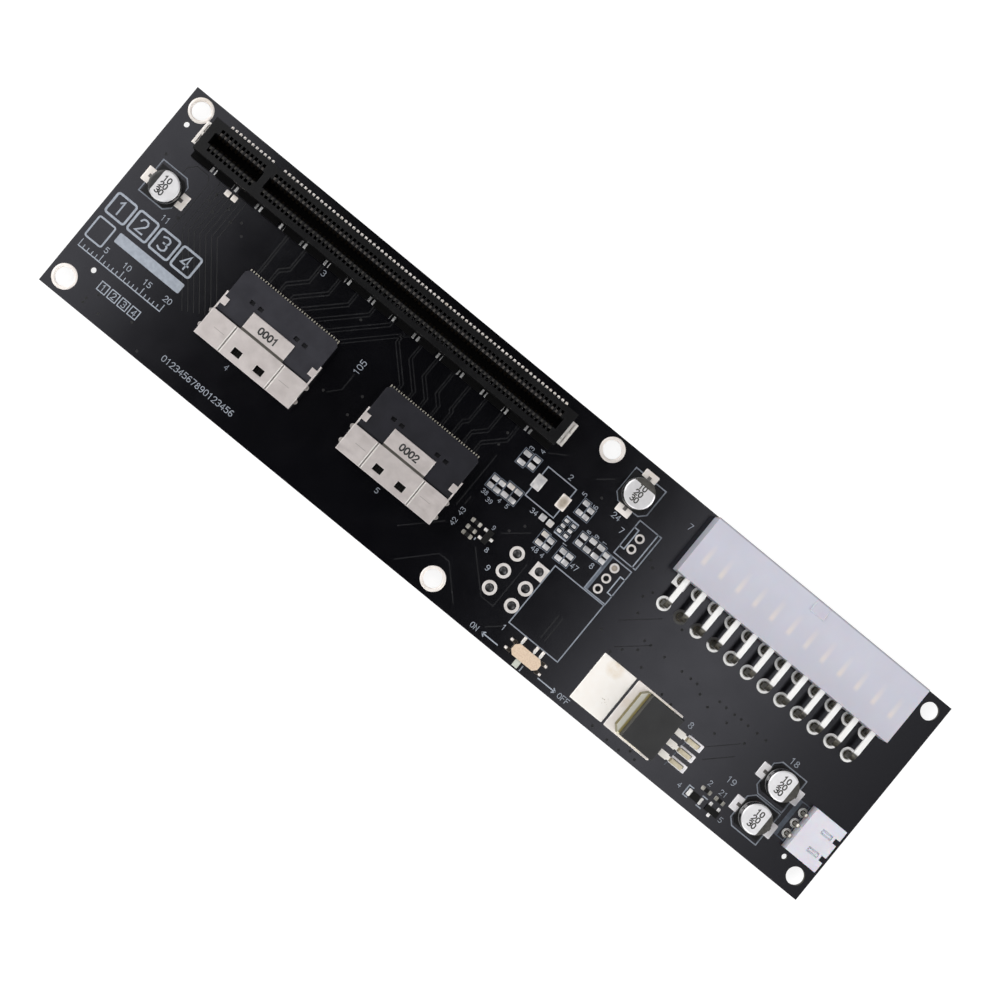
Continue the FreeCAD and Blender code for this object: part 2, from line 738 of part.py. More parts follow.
# Side header, mouth towards the board's right end
header_top = board_top + header_height
header_half = header_width / 2
header_pins = []
for y in header_pin_y:
    pin = bent_pin(header_front - header_pin_short_of_front, board_top + header_pin_z, header_hole_x,
                   header_pin, header_bend_r)
    header_pins.append(placed(pin, 0, y, -90))
pieces["side_header_pins"] = header_pins
header_cuts = [box(header_front - header_cavity_depth, header_front, header_y - header_half + header_wall,
                   header_y + header_half - header_wall, board_top + header_wall, header_top - header_wall)]
recess_x1 = header_front - header_recess_start
for side in (-1, 1):
    notch_y = header_y + side * header_notch_at
    notch_y0 = notch_y - header_notch_width / 2
    notch_y1 = notch_y + header_notch_width / 2
    header_cuts.append(box(header_front - header_notch_depth, header_front, notch_y0, notch_y1,
                           header_top - header_wall, header_top))
    header_cuts.append(box(recess_x1 - header_recess_length, recess_x1, notch_y0, notch_y1,
                           header_top - header_recess_depth, header_top))
header_block = box(header_back, header_front, header_y - header_half, header_y + header_half,
                   pad_top, header_top)
pieces["side_header_housing"] = [header_block.cut(header_cuts + header_pins)]

# Solder under every fitted pin
solder = [solder_cone(x, inlet_holes_high, inlet_pin, power_ring_r) for x in inlet_x]
solder += [solder_cone(x, inlet_holes_low, inlet_pin, power_ring_r) for x in inlet_x]
solder += [solder_cone(header_hole_x, y, header_pin, signal_ring_r) for y in header_pin_y]
pieces["solder_joints"] = solder

# Electrolytic capacitors: marked side towards -x before turning
cap_half = cap_base / 2
cap_base_z = pad_top + cap_base_height
cap_top_z = board_top + can_top
cap_outline = [(-cap_half, -cap_half), (cap_half - cap_base_chamfer, -cap_half),
               (cap_half, -cap_half + cap_base_chamfer), (cap_half, cap_half - cap_base_chamfer),
               (cap_half - cap_base_chamfer, cap_half), (-cap_half, cap_half)]
can_profile = [(0, cap_base_z), (can_r - can_bead, cap_base_z), (can_r, cap_base_z + can_bead),
               (can_r, cap_base_z + 2 * can_bead), (can_r - can_bead, cap_base_z + 3 * can_bead),
               (can_r - can_bead, cap_base_z + 4 * can_bead), (can_r, cap_base_z + 5 * can_bead),
               (can_r, cap_top_z - can_edge), (can_r - 0.3 * can_edge, cap_top_z - 0.3 * can_edge),
               (can_r - can_edge, cap_top_z), (0, cap_top_z)]
cap_lead_top = pad_top + cap_lead_metal
cap_leads = []
for side in (-1, 1):
    lead_x = sorted((side * cap_lead_inner, side * cap_lead_reach))
    cap_leads.append(box(lead_x[0], lead_x[1], -cap_lead_width / 2, cap_lead_width / 2,
                         pad_top, cap_lead_top))
cap_base_solid = prism_z(cap_outline, pad_top, cap_base_z).cut(cap_leads)
capacitors = [(cap_left_x, cap_left_y, 0), (hub_x + cap_mid_x, board_width - cap_mid_from_far_edge, -90),
              (board_end - cap_right_from_end, cap_right_y_high, 180),
              (board_end - cap_right_from_end, cap_right_y_low, 180)]
for n, (x, y, angle) in enumerate(capacitors, 1):
    name = "capacitor_%d" % n
    pieces[name + "_can"] = [turned(can_profile, x, y)]
    pieces[name + "_base"] = [placed(cap_base_solid, x, y, angle)]
    pieces[name + "_leads"] = [placed(lead, x, y, angle) for lead in cap_leads]
    pad_length = cap_pad_reach - cap_pad_inner
    pad_out = cap_pad_inner + pad_length / 2
    for side in (-1, 1):
        if angle == -90:
            part_pads.append((x, y + side * pad_out, cap_pad_width, pad_length))
        else:
            part_pads.append((x + side * pad_out, y, pad_length, cap_pad_width))

# Power transistor, leads towards the right end
tab_x0 = power_x0 + power_tab_inset
tab_x1 = tab_x0 + power_tab_length
tab_y0 = power_y - power_body_width / 2
tab_y1 = power_y + power_body_width / 2
tab_outline = [(tab_x0, tab_y0 + power_tab_corner), (tab_x0 + power_tab_corner, tab_y0),
               (tab_x1, tab_y0), (tab_x1, tab_y1),
               (tab_x0 + power_tab_corner, tab_y1), (tab_x0, tab_y1 - power_tab_corner)]
power_tab = prism_z(tab_outline, pad_top, pad_top + power_tab_metal)
upper_edges = [edge for edge in power_tab.Edges if edge.BoundBox.ZMin > pad_top + power_tab_metal / 2]
power_tab = power_tab.makeChamfer(power_tab_bevel, upper_edges)
body_x0 = power_x0 + power_body_inset
body_x1 = body_x0 + power_body_length
lead_low = pad_top + power_lead_z
lead_high = lead_low + power_lead_metal
knee_x = body_x1 + power_lead_straight
ankle_x = knee_x + power_lead_slope
toe_x = ankle_x + power_lead_foot
lead_foot_z = pad_top + power_lead_metal
lead_path = [(body_x1 - power_lead_inside, lead_low), (body_x1 - power_lead_inside, lead_high),
             (knee_x, lead_high), (ankle_x, lead_foot_z), (toe_x, lead_foot_z), (toe_x, pad_top),
             (ankle_x - power_lead_metal / 2, pad_top), (knee_x - power_lead_metal / 2, lead_low)]
power_leads = []
for n in (-1, 0, 1):
    lead_y = power_y + n * power_lead_pitch
    run = prism_y(lead_path, lead_y - power_lead_width / 2, lead_y + power_lead_width / 2)
    shoulder = box(body_x1 - power_lead_inside, knee_x - power_lead_metal, lead_y - power_lead_shoulder / 2,
                   lead_y + power_lead_shoulder / 2, lead_low, lead_high)
    power_leads.append(joined([run, shoulder]))
    part_pads.append((toe_x + power_lead_pad_toe - power_lead_pad_length / 2, lead_y + power_lead_pad_shift,
                      power_lead_pad_length, power_lead_pad_width))
part_pads.append((power_x0 + power_pad_length / 2, power_y, power_pad_length, power_pad_width))


def rectangle(x0, x1, y0, y1, z):
    corners = [vector(x0, y0, z), vector(x1, y0, z), vector(x1, y1, z), vector(x0, y1, z)]
    return Part.makePolygon(corners + corners[:1])


power_body = Part.makeLoft([
    rectangle(body_x0, body_x1, tab_y0, tab_y1, pad_top),
    rectangle(body_x0 + power_body_draft, body_x1 - power_body_draft, tab_y0 + power_body_draft / 2,
              tab_y1 - power_body_draft / 2, pad_top + power_body_height)], True)
pieces["transistor_body"] = [power_body.cut([power_tab] + power_leads)]
pieces["transistor_tab"] = [power_tab]
pieces["transistor_leads"] = power_leads

# Slide switch: the lever points to the near edge and slides along x; it is drawn at its left stop
sw_x = hub_x + switch_x
sw_end = switch_length / 2
sw_half = switch_width / 2
sw_wall_x = sw_end - switch_cover_metal
sw_z = pad_top + switch_body_height
block_half = lever_block / 2
lever_half = lever_width / 2
slot_play = lever_travel / 2 + lever_clearance
wiper_back = lever_block_back + wiper_metal
terminals = []
for place in switch_terminal_places:
    x0 = place - switch_terminal_width / 2
    x1 = place + switch_terminal_width / 2
    foot = box(x0, x1, switch_terminal_inner, switch_terminal_reach, pad_top, pad_top + switch_foot_metal)
    riser = box(x0, x1, switch_terminal_inner, switch_terminal_inner + switch_foot_metal, pad_top,
                pad_top + switch_terminal_rise)
    terminals.append(joined([foot, riser]))
    part_pads.append((sw_x + place, switch_y + (sw_half + switch_terminal_reach) / 2 + small_pad_margin,
                      switch_terminal_width + small_pad_margin, switch_terminal_reach - sw_half))
cavity = box(-block_half - slot_play, block_half + slot_play, lever_block_front - lever_clearance,
             wiper_back + lever_clearance, pad_top + lever_low - lever_clearance, sw_z)
gate = box(-lever_half - slot_play, lever_half + slot_play, -sw_half, lever_block_front,
           pad_top + lever_low - lever_clearance, sw_z)
switch_body = prism_z(octagon(2 * sw_wall_x, switch_width, switch_chamfer), pad_top, sw_z)
switch_body = switch_body.cut([cavity, gate] + terminals)
cover_parts = [prism_z(octagon(switch_length, switch_width, switch_chamfer), sw_z, sw_z + switch_cover_metal)]
end_half = sw_half - switch_chamfer
foot_top = pad_top + switch_foot_metal
for side in (-1, 1):
    wall = sorted((side * sw_wall_x, side * sw_end))
    strip = sorted((side * sw_wall_x, side * (sw_end + switch_foot_strip)))
    foot = sorted((side * sw_end, side * (sw_end + switch_foot_reach)))
    cover_parts.append(box(wall[0], wall[1], -end_half, end_half, pad_top, sw_z))
    cover_parts.append(box(strip[0], strip[1], -sw_half, sw_half, pad_top, foot_top))
    for edge in (-1, 1):
        toe = sorted((edge * sw_half, edge * (sw_half - switch_foot_width)))
        cover_parts.append(box(foot[0], foot[1], toe[0], toe[1], pad_top, foot_top))
        part_pads.append((sw_x + side * (sw_end + switch_foot_reach / 2),
                          switch_y + edge * (sw_half - switch_foot_width / 2),
                          switch_foot_reach, switch_foot_width))
lever_x = -lever_travel / 2
lever_z0 = pad_top + lever_low
lever_z1 = pad_top + lever_high
lever = joined([
    box(lever_x - block_half, lever_x + block_half, lever_block_front, lever_block_back, lever_z0, lever_z1),
    box(lever_x - lever_half, lever_x + lever_half, lever_tip, lever_block_front, lever_z0, lever_z1)])
wiper = box(lever_x - block_half + wiper_inset, lever_x + block_half - wiper_inset,
            lever_block_back, wiper_back, lever_z0, lever_z1)
pieces["switch_body"] = [placed(switch_body, sw_x, switch_y, 0)]
pieces["switch_cover"] = [placed(joined(cover_parts), sw_x, switch_y, 0)]
pieces["switch_terminals"] = [placed(terminal, sw_x, switch_y, 0) for terminal in terminals]
pieces["switch_lever"] = [placed(lever, sw_x, switch_y, 0)]
pieces["switch_wiper"] = [placed(wiper, sw_x, switch_y, 0)]

# Chip resistors, all along x
resistors = [(hub_x + chip_mid_x, y) for y in chip_mid_y]
resistors += [(board_end - x, chip_right_y) for x in chip_right_from_end]
resistor_bodies = []
resistor_ends = []
for x, y in resistors:
    body_length = chip_length - 2 * chip_end
    resistor_bodies.append(slab(x, y, body_length, chip_width, pad_top, pad_top + chip_height))
    for side in (-1, 1):
        end_x = x + side * (chip_length - chip_end) / 2
        resistor_ends.append(slab(end_x, y, chip_end, chip_width, pad_top, pad_top + chip_height))
        part_pads.append((x + side * chip_length / 2, y, chip_pad_length, chip_pad_width))
pieces["resistor_bodies"] = resistor_bodies
pieces["resistor_ends"] = resistor_ends


def side_lead(start, width):
    reach = start + small_lead_reach
    knee = start + small_lead_metal
    foot_z = pad_top + small_lead_metal
    top = pad_top + small_lead_rise
    path = [(start, pad_top), (reach, pad_top), (reach, foot_z), (knee, foot_z), (knee, top), (start, top)]
    return prism_y(path, -width / 2, width / 2)


# Small three-lead packages: one lead towards +x before turning
single = side_lead(small_body_short / 2, small_lead_width)
pair = [placed(single, 0, -small_lead_spread, 180), placed(single, 0, small_lead_spread, 180)]
small_leads = [single] + pair
small_body_z = (pad_top + small_body_lift, pad_top + small_body_height)
small_body = slab(0, 0, small_body_short, small_body_long, small_body_z[0], small_body_z[1])
lead_mid = (small_body_short + small_lead_reach) / 2
lead_pad = (small_lead_reach + small_pad_margin, small_lead_width + small_pad_margin)
lead_places = [(lead_mid, 0), (-lead_mid, -small_lead_spread), (-lead_mid, small_lead_spread)]
small_places = [(hub_x + small_mid_x, small_mid_y, 0), (board_end - small_right_from_end, small_right_y, -90)]
small_bodies = []
small_lead_solids = []
for x, y, angle in small_places:
    small_bodies.append(placed(small_body, x, y, angle))
    small_lead_solids += [placed(lead, x, y, angle) for lead in small_leads]
    for u, v in lead_places:
        if angle == 0:
            part_pads.append((x + u, y + v, lead_pad[0], lead_pad[1]))
        else:
            part_pads.append((x + v, y - u, lead_pad[1], lead_pad[0]))
pieces["small_transistor_bodies"] = small_bodies
pieces["small_transistor_leads"] = small_lead_solids

# Diode along x
diode_x = board_end - diode_from_end
diode_lead = side_lead(diode_long / 2, diode_lead_width)
pieces["diode_body"] = [slab(diode_x, diode_y, diode_long, diode_short, small_body_z[0], small_body_z[1])]
pieces["diode_ends"] = [placed(diode_lead, diode_x, diode_y, angle) for angle in (0, 180)]
for side in (-1, 1):
    part_pads.append((diode_x + side * (diode_long + small_lead_reach) / 2, diode_y,
                      small_lead_reach + small_pad_margin, diode_lead_width + small_pad_margin))

# The left hold-down's pad stops at the ring of the mounting hole beside it
ring_room = [rod(x, y, mount_ring_r, board_top, pad_top) for x, y in ringed_mounts]
pieces["component_pads"] = [slab(x, y, sx, sy, board_top, pad_top).cut(ring_room)
                            for x, y, sx, sy in part_pads]

centre = vector(-board_length / 2, -board_width / 2, 0)
for name, solids in pieces.items():
    moved = [solid.translated(centre) for solid in solids]
    shape = moved[0] if len(moved) == 1 else Part.makeCompound(moved)
    shape.exportStep("parts/" + name + ".step")
print(len(pieces), "pieces,", sum(len(solids) for solids in pieces.values()), "solids,",
      "board", round(board_length, 3), "x", board_width)
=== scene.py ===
import json
import math

import bmesh
import bpy
from mathutils import Matrix, Vector


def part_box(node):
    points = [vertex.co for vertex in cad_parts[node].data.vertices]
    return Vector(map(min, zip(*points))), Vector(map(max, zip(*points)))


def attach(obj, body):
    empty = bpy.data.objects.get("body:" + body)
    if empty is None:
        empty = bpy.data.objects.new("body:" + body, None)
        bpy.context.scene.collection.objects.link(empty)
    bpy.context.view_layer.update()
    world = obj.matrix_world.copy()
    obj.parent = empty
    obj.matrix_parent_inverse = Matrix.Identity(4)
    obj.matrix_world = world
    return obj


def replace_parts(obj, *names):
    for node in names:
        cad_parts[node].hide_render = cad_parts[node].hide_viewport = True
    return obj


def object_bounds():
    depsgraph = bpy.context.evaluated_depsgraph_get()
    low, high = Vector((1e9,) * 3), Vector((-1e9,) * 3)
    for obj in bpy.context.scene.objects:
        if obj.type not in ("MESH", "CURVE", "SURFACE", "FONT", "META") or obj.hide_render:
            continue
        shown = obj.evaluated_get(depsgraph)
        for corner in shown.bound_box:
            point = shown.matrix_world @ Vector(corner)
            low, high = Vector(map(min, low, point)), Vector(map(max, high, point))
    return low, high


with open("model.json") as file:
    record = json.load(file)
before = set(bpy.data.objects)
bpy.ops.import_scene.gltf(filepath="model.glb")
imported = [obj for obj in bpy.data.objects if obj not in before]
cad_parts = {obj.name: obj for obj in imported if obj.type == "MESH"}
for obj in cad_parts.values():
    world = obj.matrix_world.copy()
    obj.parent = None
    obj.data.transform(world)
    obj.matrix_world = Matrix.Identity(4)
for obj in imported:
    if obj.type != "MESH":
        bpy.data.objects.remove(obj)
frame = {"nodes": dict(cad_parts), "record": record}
cad_low, cad_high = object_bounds()
nodes = frame["nodes"]
board_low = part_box("circuit_board")[0]

# Places below are in millimetres: x from the board's left end, y from its near edge, z from its underside.
MM = 0.001
BOARD_TOP = 1.6
INK = 0.02
TRACE_TOP = BOARD_TOP + 0.012
LINE = 0.24


def to_board(point):
    """A point of the frame, in metres, as board millimetres."""
    return Vector(((point.x - board_low.x) / MM, (point.y - board_low.y) / MM, point.z / MM))


def node_box(name):
    """Lowest corner, highest corner and middle of a node."""
    low, high = map(to_board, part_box(name))
    return low, high, (low + high) / 2


def top_of(name, x, y):
    """Height of a node's upper surface above a place on the board."""
    start = Vector((board_low.x + x * MM, board_low.y + y * MM, 0.1))
    found, place, normal, index = nodes[name].ray_cast(start, Vector((0, 0, -1)))
    if not found:
        raise ValueError(f"{name} has no surface at {x}, {y}")
    return place.z / MM


def island_boxes(name):
    """Lowest and highest corner of each separate solid in a node."""
    mesh = bmesh.new()
    mesh.from_mesh(nodes[name].data)
    bmesh.ops.remove_doubles(mesh, verts=mesh.verts, dist=1e-7)
    waiting = set(mesh.verts)
    boxes = []
    while waiting:
        reached = [waiting.pop()]
        island = []
        while reached:
            vertex = reached.pop()
            island.append(to_board(vertex.co))
            for edge in vertex.link_edges:
                other = edge.other_vert(vertex)
                if other in waiting:
                    waiting.remove(other)
                    reached.append(other)
        boxes.append((Vector(map(min, zip(*island))), Vector(map(max, zip(*island)))))
    mesh.free()
    return sorted(boxes, key=lambda pair: tuple(pair[0]))


# Drawing in flat shapes: outlines, strokes and letters
def arc(x, y, radius, start, end, steps):
    """Points on a circle from one angle to another, in degrees."""
    angles = [math.radians(start + (end - start) * n / steps) for n in range(steps + 1)]
    return [(x + radius * math.cos(a), y + radius * math.sin(a)) for a in angles]


def circle(x, y, radius, sides):
    return arc(x, y, radius, 0, 360, sides)[:-1]


def rectangle(x0, y0, x1, y1):
    return [(x0, y0), (x1, y0), (x1, y1), (x0, y1)]


def rounded(x0, y0, x1, y1, corner):
    points = []
    for x, y, start in ((x1 - corner, y1 - corner, 0), (x0 + corner, y1 - corner, 90),
                        (x0 + corner, y0 + corner, 180), (x1 - corner, y0 + corner, 270)):
        points += arc(x, y, corner, start, start + 90, 4)
    return points


def chamfered(x0, y0, x1, y1, side, cut=1.25):
    """A frame with its two corners on one side cut off."""
    if side == "left":
        return [(x0, y0 + cut), (x0 + cut, y0), (x1, y0), (x1, y1), (x0 + cut, y1), (x0, y1 - cut)]
    if side == "right":
        return [(x0, y0), (x1 - cut, y0), (x1, y0 + cut), (x1, y1 - cut), (x1 - cut, y1), (x0, y1)]
    return [(x0, y0 + cut), (x0 + cut, y0), (x1 - cut, y0), (x1, y0 + cut), (x1, y1), (x0, y1)]


# Strokes of the few characters used, in a cell 0.6 wide and 1 high
STROKES = {
    "0": [[(0.3, 0), (0.1, 0.08), (0, 0.3), (0, 0.7), (0.1, 0.92), (0.3, 1), (0.5, 0.92), (0.6, 0.7),
           (0.6, 0.3), (0.5, 0.08), (0.3, 0)]],
    "1": [[(0.1, 0.8), (0.32, 1), (0.32, 0)]],
    "2": [[(0, 0.76), (0.1, 0.94), (0.3, 1), (0.5, 0.94), (0.6, 0.74), (0.52, 0.54), (0, 0), (0.6, 0)]],
    "3": [[(0, 0.9), (0.2, 1), (0.42, 1), (0.58, 0.87), (0.58, 0.66), (0.42, 0.53), (0.22, 0.53)],
          [(0.42, 0.53), (0.6, 0.4), (0.6, 0.14), (0.42, 0), (0.18, 0), (0, 0.1)]],
    "4": [[(0.46, 0), (0.46, 1), (0, 0.3), (0.62, 0.3)]],
    "5": [[(0.56, 1), (0.08, 1), (0.04, 0.56), (0.3, 0.62), (0.52, 0.54), (0.6, 0.32), (0.52, 0.08),
           (0.3, 0), (0, 0.1)]],
    "6": [[(0.52, 0.93), (0.3, 1), (0.1, 0.85), (0, 0.5), (0, 0.25), (0.1, 0.06), (0.3, 0), (0.5, 0.06),
           (0.6, 0.28), (0.5, 0.5), (0.3, 0.57), (0.08, 0.48)]],
    "7": [[(0, 1), (0.6, 1), (0.22, 0)]],
    "8": [[(0.3, 0.54), (0.1, 0.64), (0.06, 0.84), (0.3, 1), (0.54, 0.84), (0.5, 0.64), (0.3, 0.54)],
          [(0.3, 0.54), (0.04, 0.4), (0, 0.16), (0.3, 0), (0.6, 0.16), (0.56, 0.4), (0.3, 0.54)]],
    "9": [[(0.08, 0.07), (0.3, 0), (0.5, 0.15), (0.6, 0.5), (0.6, 0.75), (0.5, 0.94), (0.3, 1), (0.1, 0.94),
           (0, 0.72), (0.1, 0.5), (0.3, 0.43), (0.52, 0.52)]],
    "O": [[(0.3, 0), (0.08, 0.1), (0, 0.35), (0, 0.65), (0.08, 0.9), (0.3, 1), (0.52, 0.9), (0.6, 0.65),
           (0.6, 0.35), (0.52, 0.1), (0.3, 0)]],
    "N": [[(0, 0), (0, 1), (0.6, 0), (0.6, 1)]],
    "F": [[(0, 0), (0, 1), (0.58, 1)], [(0, 0.54), (0.46, 0.54)]],
}
CHARACTER_STEP = 0.86


class Sketch:
    """The faces of one added piece, gathered in board millimetres."""

    def __init__(self):
        self.points = []
        self.faces = []

    def loft(self, rows, closed=True, cap=False):
        """Skin between rows of points that have the same count."""
        base = len(self.points)
        count = len(rows[0])
        for row in rows:
            self.points += row
        for n in range(len(rows) - 1):
            for i in range(count if closed else count - 1):
                j = (i + 1) % count
                low = base + n * count
                self.faces.append((low + i, low + j, low + count + j, low + count + i))
        if cap:
            last = base + (len(rows) - 1) * count
            self.faces.append(tuple(range(last, last + count)))

    def field(self, outline, low=BOARD_TOP, high=BOARD_TOP + INK):
        """A filled flat shape with upright sides."""
        self.loft([[(x, y, low) for x, y in outline], [(x, y, high) for x, y in outline]], cap=True)

    def ribbon(self, path, width=LINE, low=BOARD_TOP, high=BOARD_TOP + INK, closed=False):
        """A strip with mitred corners along a path."""
        half = width / 2
        line = [Vector(p) for p in path]
        count = len(line)
        sections = []
        for n, point in enumerate(line):
            before = point - line[n - 1] if closed or n > 0 else line[1] - line[0]
            after = line[(n + 1) % count] - point if closed or n < count - 1 else before
            before = before.normalized()
            after = after.normalized()
            mean = (before + after).normalized()
            across = Vector((-mean.y, mean.x)) * min(half / max(mean.dot(after), 0.4), 2 * half)
            middle = point
            if not closed and n == 0:
                middle = point - after * half
            if not closed and n == count - 1:
                middle = point + before * half
            left = middle + across
            right = middle - across
            sections.append([(*left, low), (*left, high), (*right, high), (*right, low)])
        if closed:
            sections.append(sections[0])
        self.loft(sections, closed=False)
        if not closed:
            last = len(self.points) - 4
            first = last - 4 * (len(sections) - 1)
            self.faces.append((first, first + 3, first + 2, first + 1))
            self.faces.append((last, last + 1, last + 2, last + 3))

    def ring(self, x, y, inner, outer, low, high, sides):
        """A flat washer with slightly rounded rims."""
        rim = 0.12 * (outer - inner)
        middle = (low + high) / 2
        profile = ((outer, low), (outer - 0.3 * rim, middle), (outer - rim, high),
                   (inner + rim, high), (inner + 0.3 * rim, middle), (inner, low))
        self.loft([[(*p, z) for p in circle(x, y, r, sides)] for r, z in profile])

    def pillow(self, x0, y0, x1, y1, low, high, edge, corner):
        """A rounded rectangle whose upper edge rolls over, as solder does on a pad."""
        rows = []
        for n in range(5):
            share = n / 4
            inset = edge * share
            z = low + (high - low) * math.sqrt(1 - (1 - share) ** 2)
            outline = rounded(x0 + inset, y0 + inset, x1 - inset, y1 - inset, max(corner - inset, 0.02))
            rows.append([(x, y, z) for x, y in outline])
        self.loft(rows, cap=True)

    def turned(self, x, y, profile, sides=20):
        """A round form through pairs of radius and height, closed at the last one."""
        self.loft([[(*p, z) for p in circle(x, y, r, sides)] for r, z in profile], cap=True)

    def dome(self, x, y, radius, low, rise, sides=14):
        angles = [math.radians(a) for a in (0, 18, 36, 54, 72, 85)]
        self.turned(x, y, [(radius * math.cos(a), low + rise * math.sin(a)) for a in angles], sides)

    def write(self, text, x, y, height, turn=0, weight=0.13, low=BOARD_TOP, ink=INK):
        """Plain characters whose first one starts at x, y; turn is in degrees."""
        c = math.cos(math.radians(turn))
        s = math.sin(math.radians(turn))
        for n, character in enumerate(text):
            for stroke in STROKES[character]:
                path = []
                for u, v in stroke:
                    along = (u + n * CHARACTER_STEP) * height
                    up = v * height
                    path.append((x + along * c - up * s, y + along * s + up * c))
                self.ribbon(path, weight * height, low, low + ink)

    def piece(self, name, finish, slot, smooth=False):
        """Makes the object, gives it its finish and lets it ride on the board."""
        mesh = bpy.data.meshes.new(name)
        corner = Vector((board_low.x, board_low.y, 0))
        mesh.from_pydata([corner + Vector(p) * MM for p in self.points], [], self.faces)
        mesh.polygons.foreach_set("use_smooth", [smooth] * len(mesh.polygons))
        mesh.materials.append(finish)
        made = bpy.data.objects.new(name, mesh)
        bpy.context.scene.collection.objects.link(made)
        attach(made, "board")
        return made


class Finish:
    """A procedural surface: one shader fed by patterns in object space. Patterns are sized in millimetres.

    Colour is laid on in coats: base starts it, and over covers a share of what is there.
    """

    def __init__(self, name, metallic=0.0, specular=0.5, edge=None):
        self.material = bpy.data.materials.new(name)
        self.material.use_nodes = True
        self.tree = self.material.node_tree
        self.shader = self.tree.nodes["Principled BSDF"]
        self.set("Metallic", metallic)
        self.set("Specular IOR Level", specular)
        coordinates = self.tree.nodes.new("ShaderNodeTexCoord")
        self.place = coordinates.outputs["Object"]
        self.facing = coordinates.outputs["Normal"]
        self.colour = None
        self.surface = None
        self.worn = self.edges(edge) if edge else None

    def set(self, name, value):
        self.feed(self.shader.inputs[name], value)

    def feed(self, socket, value):
        if isinstance(value, bpy.types.NodeSocket):
            self.tree.links.new(value, socket)
        else:
            socket.default_value = value

    def node(self, kind, **inputs):
        made = self.tree.nodes.new(kind)
        for name, value in inputs.items():
            self.feed(made.inputs[name], value)
        return made

    def math(self, operation, *values, kind="ShaderNodeMath", output=0):
        made = self.tree.nodes.new(kind)
        made.operation = operation
        for socket, value in zip(made.inputs, values):
            self.feed(socket, value)
        return made.outputs[output]

    def times(self, first, *others):
        for value in others:
            first = self.math("MULTIPLY", first, value)
        return first

    def steps(self, value, start, length):
        """How many lengths a value lies beyond the start."""
        return self.math("DIVIDE", self.math("SUBTRACT", value, start), length)

    def span(self, value, start, end, low=0.0, high=1.0):
        """Runs from low to high while a value goes from start to end."""
        made = self.node("ShaderNodeMapRange", Value=value)
        for name, setting in (("From Min", start), ("From Max", end), ("To Min", low), ("To Max", high)):
            made.inputs[name].default_value = setting
        return made.outputs[0]

    def at(self, axis):
        """Place along one axis, in metres."""
        return self.node("ShaderNodeSeparateXYZ", Vector=self.place).outputs[axis]

    def zone(self, axis, *limits):
        """A span along one axis."""
        return self.span(self.at(axis), *limits)

    def lean(self, axis, *limits):
        """A span over how far the surface faces along one axis, from -1 to 1."""
        return self.span(self.node("ShaderNodeSeparateXYZ", Vector=self.facing).outputs[axis], *limits)

    def tilt(self, axis, *limits):
        """The same for both ways along the axis, from 0 to 1."""
        facing = self.node("ShaderNodeSeparateXYZ", Vector=self.facing).outputs[axis]
        return self.span(self.math("ABSOLUTE", facing), *limits)

    def noise(self, size, detail=3.0, stretch=(1, 1, 1)):
        """Cloudy pattern with blobs about size millimetres across."""
        place = self.math("MULTIPLY", self.place, stretch, kind="ShaderNodeVectorMath")
        return self.node("ShaderNodeTexNoise", Vector=place, Scale=1 / (size * MM), Detail=detail).outputs[0]

    def drift(self, size, detail=3.0, low=0.0, high=1.0, stretch=(1, 1, 1)):
        """A cloudy pattern spread between two values."""
        return self.span(self.noise(size, detail, stretch), 0.3, 0.7, low, high)

    def threads(self, pitch, direction):
        """Even bands across one axis."""
        made = self.node("ShaderNodeTexWave", Vector=self.place, Scale=2 * math.pi / (20 * pitch * MM),
                         Distortion=0.6, Detail=2.0)
        made.bands_direction = direction
        return made.outputs[1]

    def patch(self, x, y, reach_x, reach_y, core):
        """1 in the middle of an oval on the board, 0 from its rim on; places and reach in millimetres."""
        off_x = self.steps(self.at("X"), board_low.x + x * MM, reach_x * MM)
        off_y = self.steps(self.at("Y"), board_low.y + y * MM, reach_y * MM)
        off = self.math("ADD", self.times(off_x, off_x), self.times(off_y, off_y))
        return self.span(off, core, 1.0, 1.0, 0.0)

    def edges(self, radius):
        """Share of sharp edges, where some finishes lay wear and others a painted highlight, from how far a
        rounded normal leans away from the true one.
        """
        soft = self.node("ShaderNodeBevel", Radius=radius * MM)
        soft.samples = 4
        self.surface = soft.outputs[0]
        true = self.tree.nodes.new("ShaderNodeNewGeometry").outputs["True Normal"]
        agree = self.math("DOT_PRODUCT", self.surface, true, kind="ShaderNodeVectorMath", output="Value")
        return self.span(agree, 0.98, 0.8)

    def rubbed(self, low, high):
        """Patchy wear on sharp edges."""
        return self.times(self.worn, self.span(self.noise(1.3), 0.35, 0.6, low, high))

    def blend(self, share, low, high):
        """Colour between two others; each may be a plain colour or a socket."""
        made = self.tree.nodes.new("ShaderNodeMix")
        made.data_type = "RGBA"
        self.feed(made.inputs["Factor"], share)
        for socket, value in (("A", low), ("B", high)):
            target = [i for i in made.inputs if i.name == socket and i.type == "RGBA"][0]
            self.feed(target, value if isinstance(value, bpy.types.NodeSocket) else (*value, 1.0))
        return [o for o in made.outputs if o.type == "RGBA"][0]

    def mottle(self, dark, light, size, detail=3.0, stretch=(1, 1, 1)):
        """A colour that drifts between two others."""
        return self.blend(self.drift(size, detail, stretch=stretch), dark, light)

    def base(self, *mottled):
        self.colour = self.mottle(*mottled)

    def over(self, share, colour):
        self.colour = self.blend(share, self.colour, colour)

    def scatter(self, weight, reach):
        """Lets light a little way into pale plastic."""
        self.set("Subsurface Weight", weight)
        self.set("Subsurface Scale", reach * MM)

    def relief(self, height, depth, strength=0.5):
        made = self.node("ShaderNodeBump", Strength=strength, Distance=depth * MM, Height=height)
        if self.surface:
            self.feed(made.inputs["Normal"], self.surface)
        self.surface = made.outputs[0]

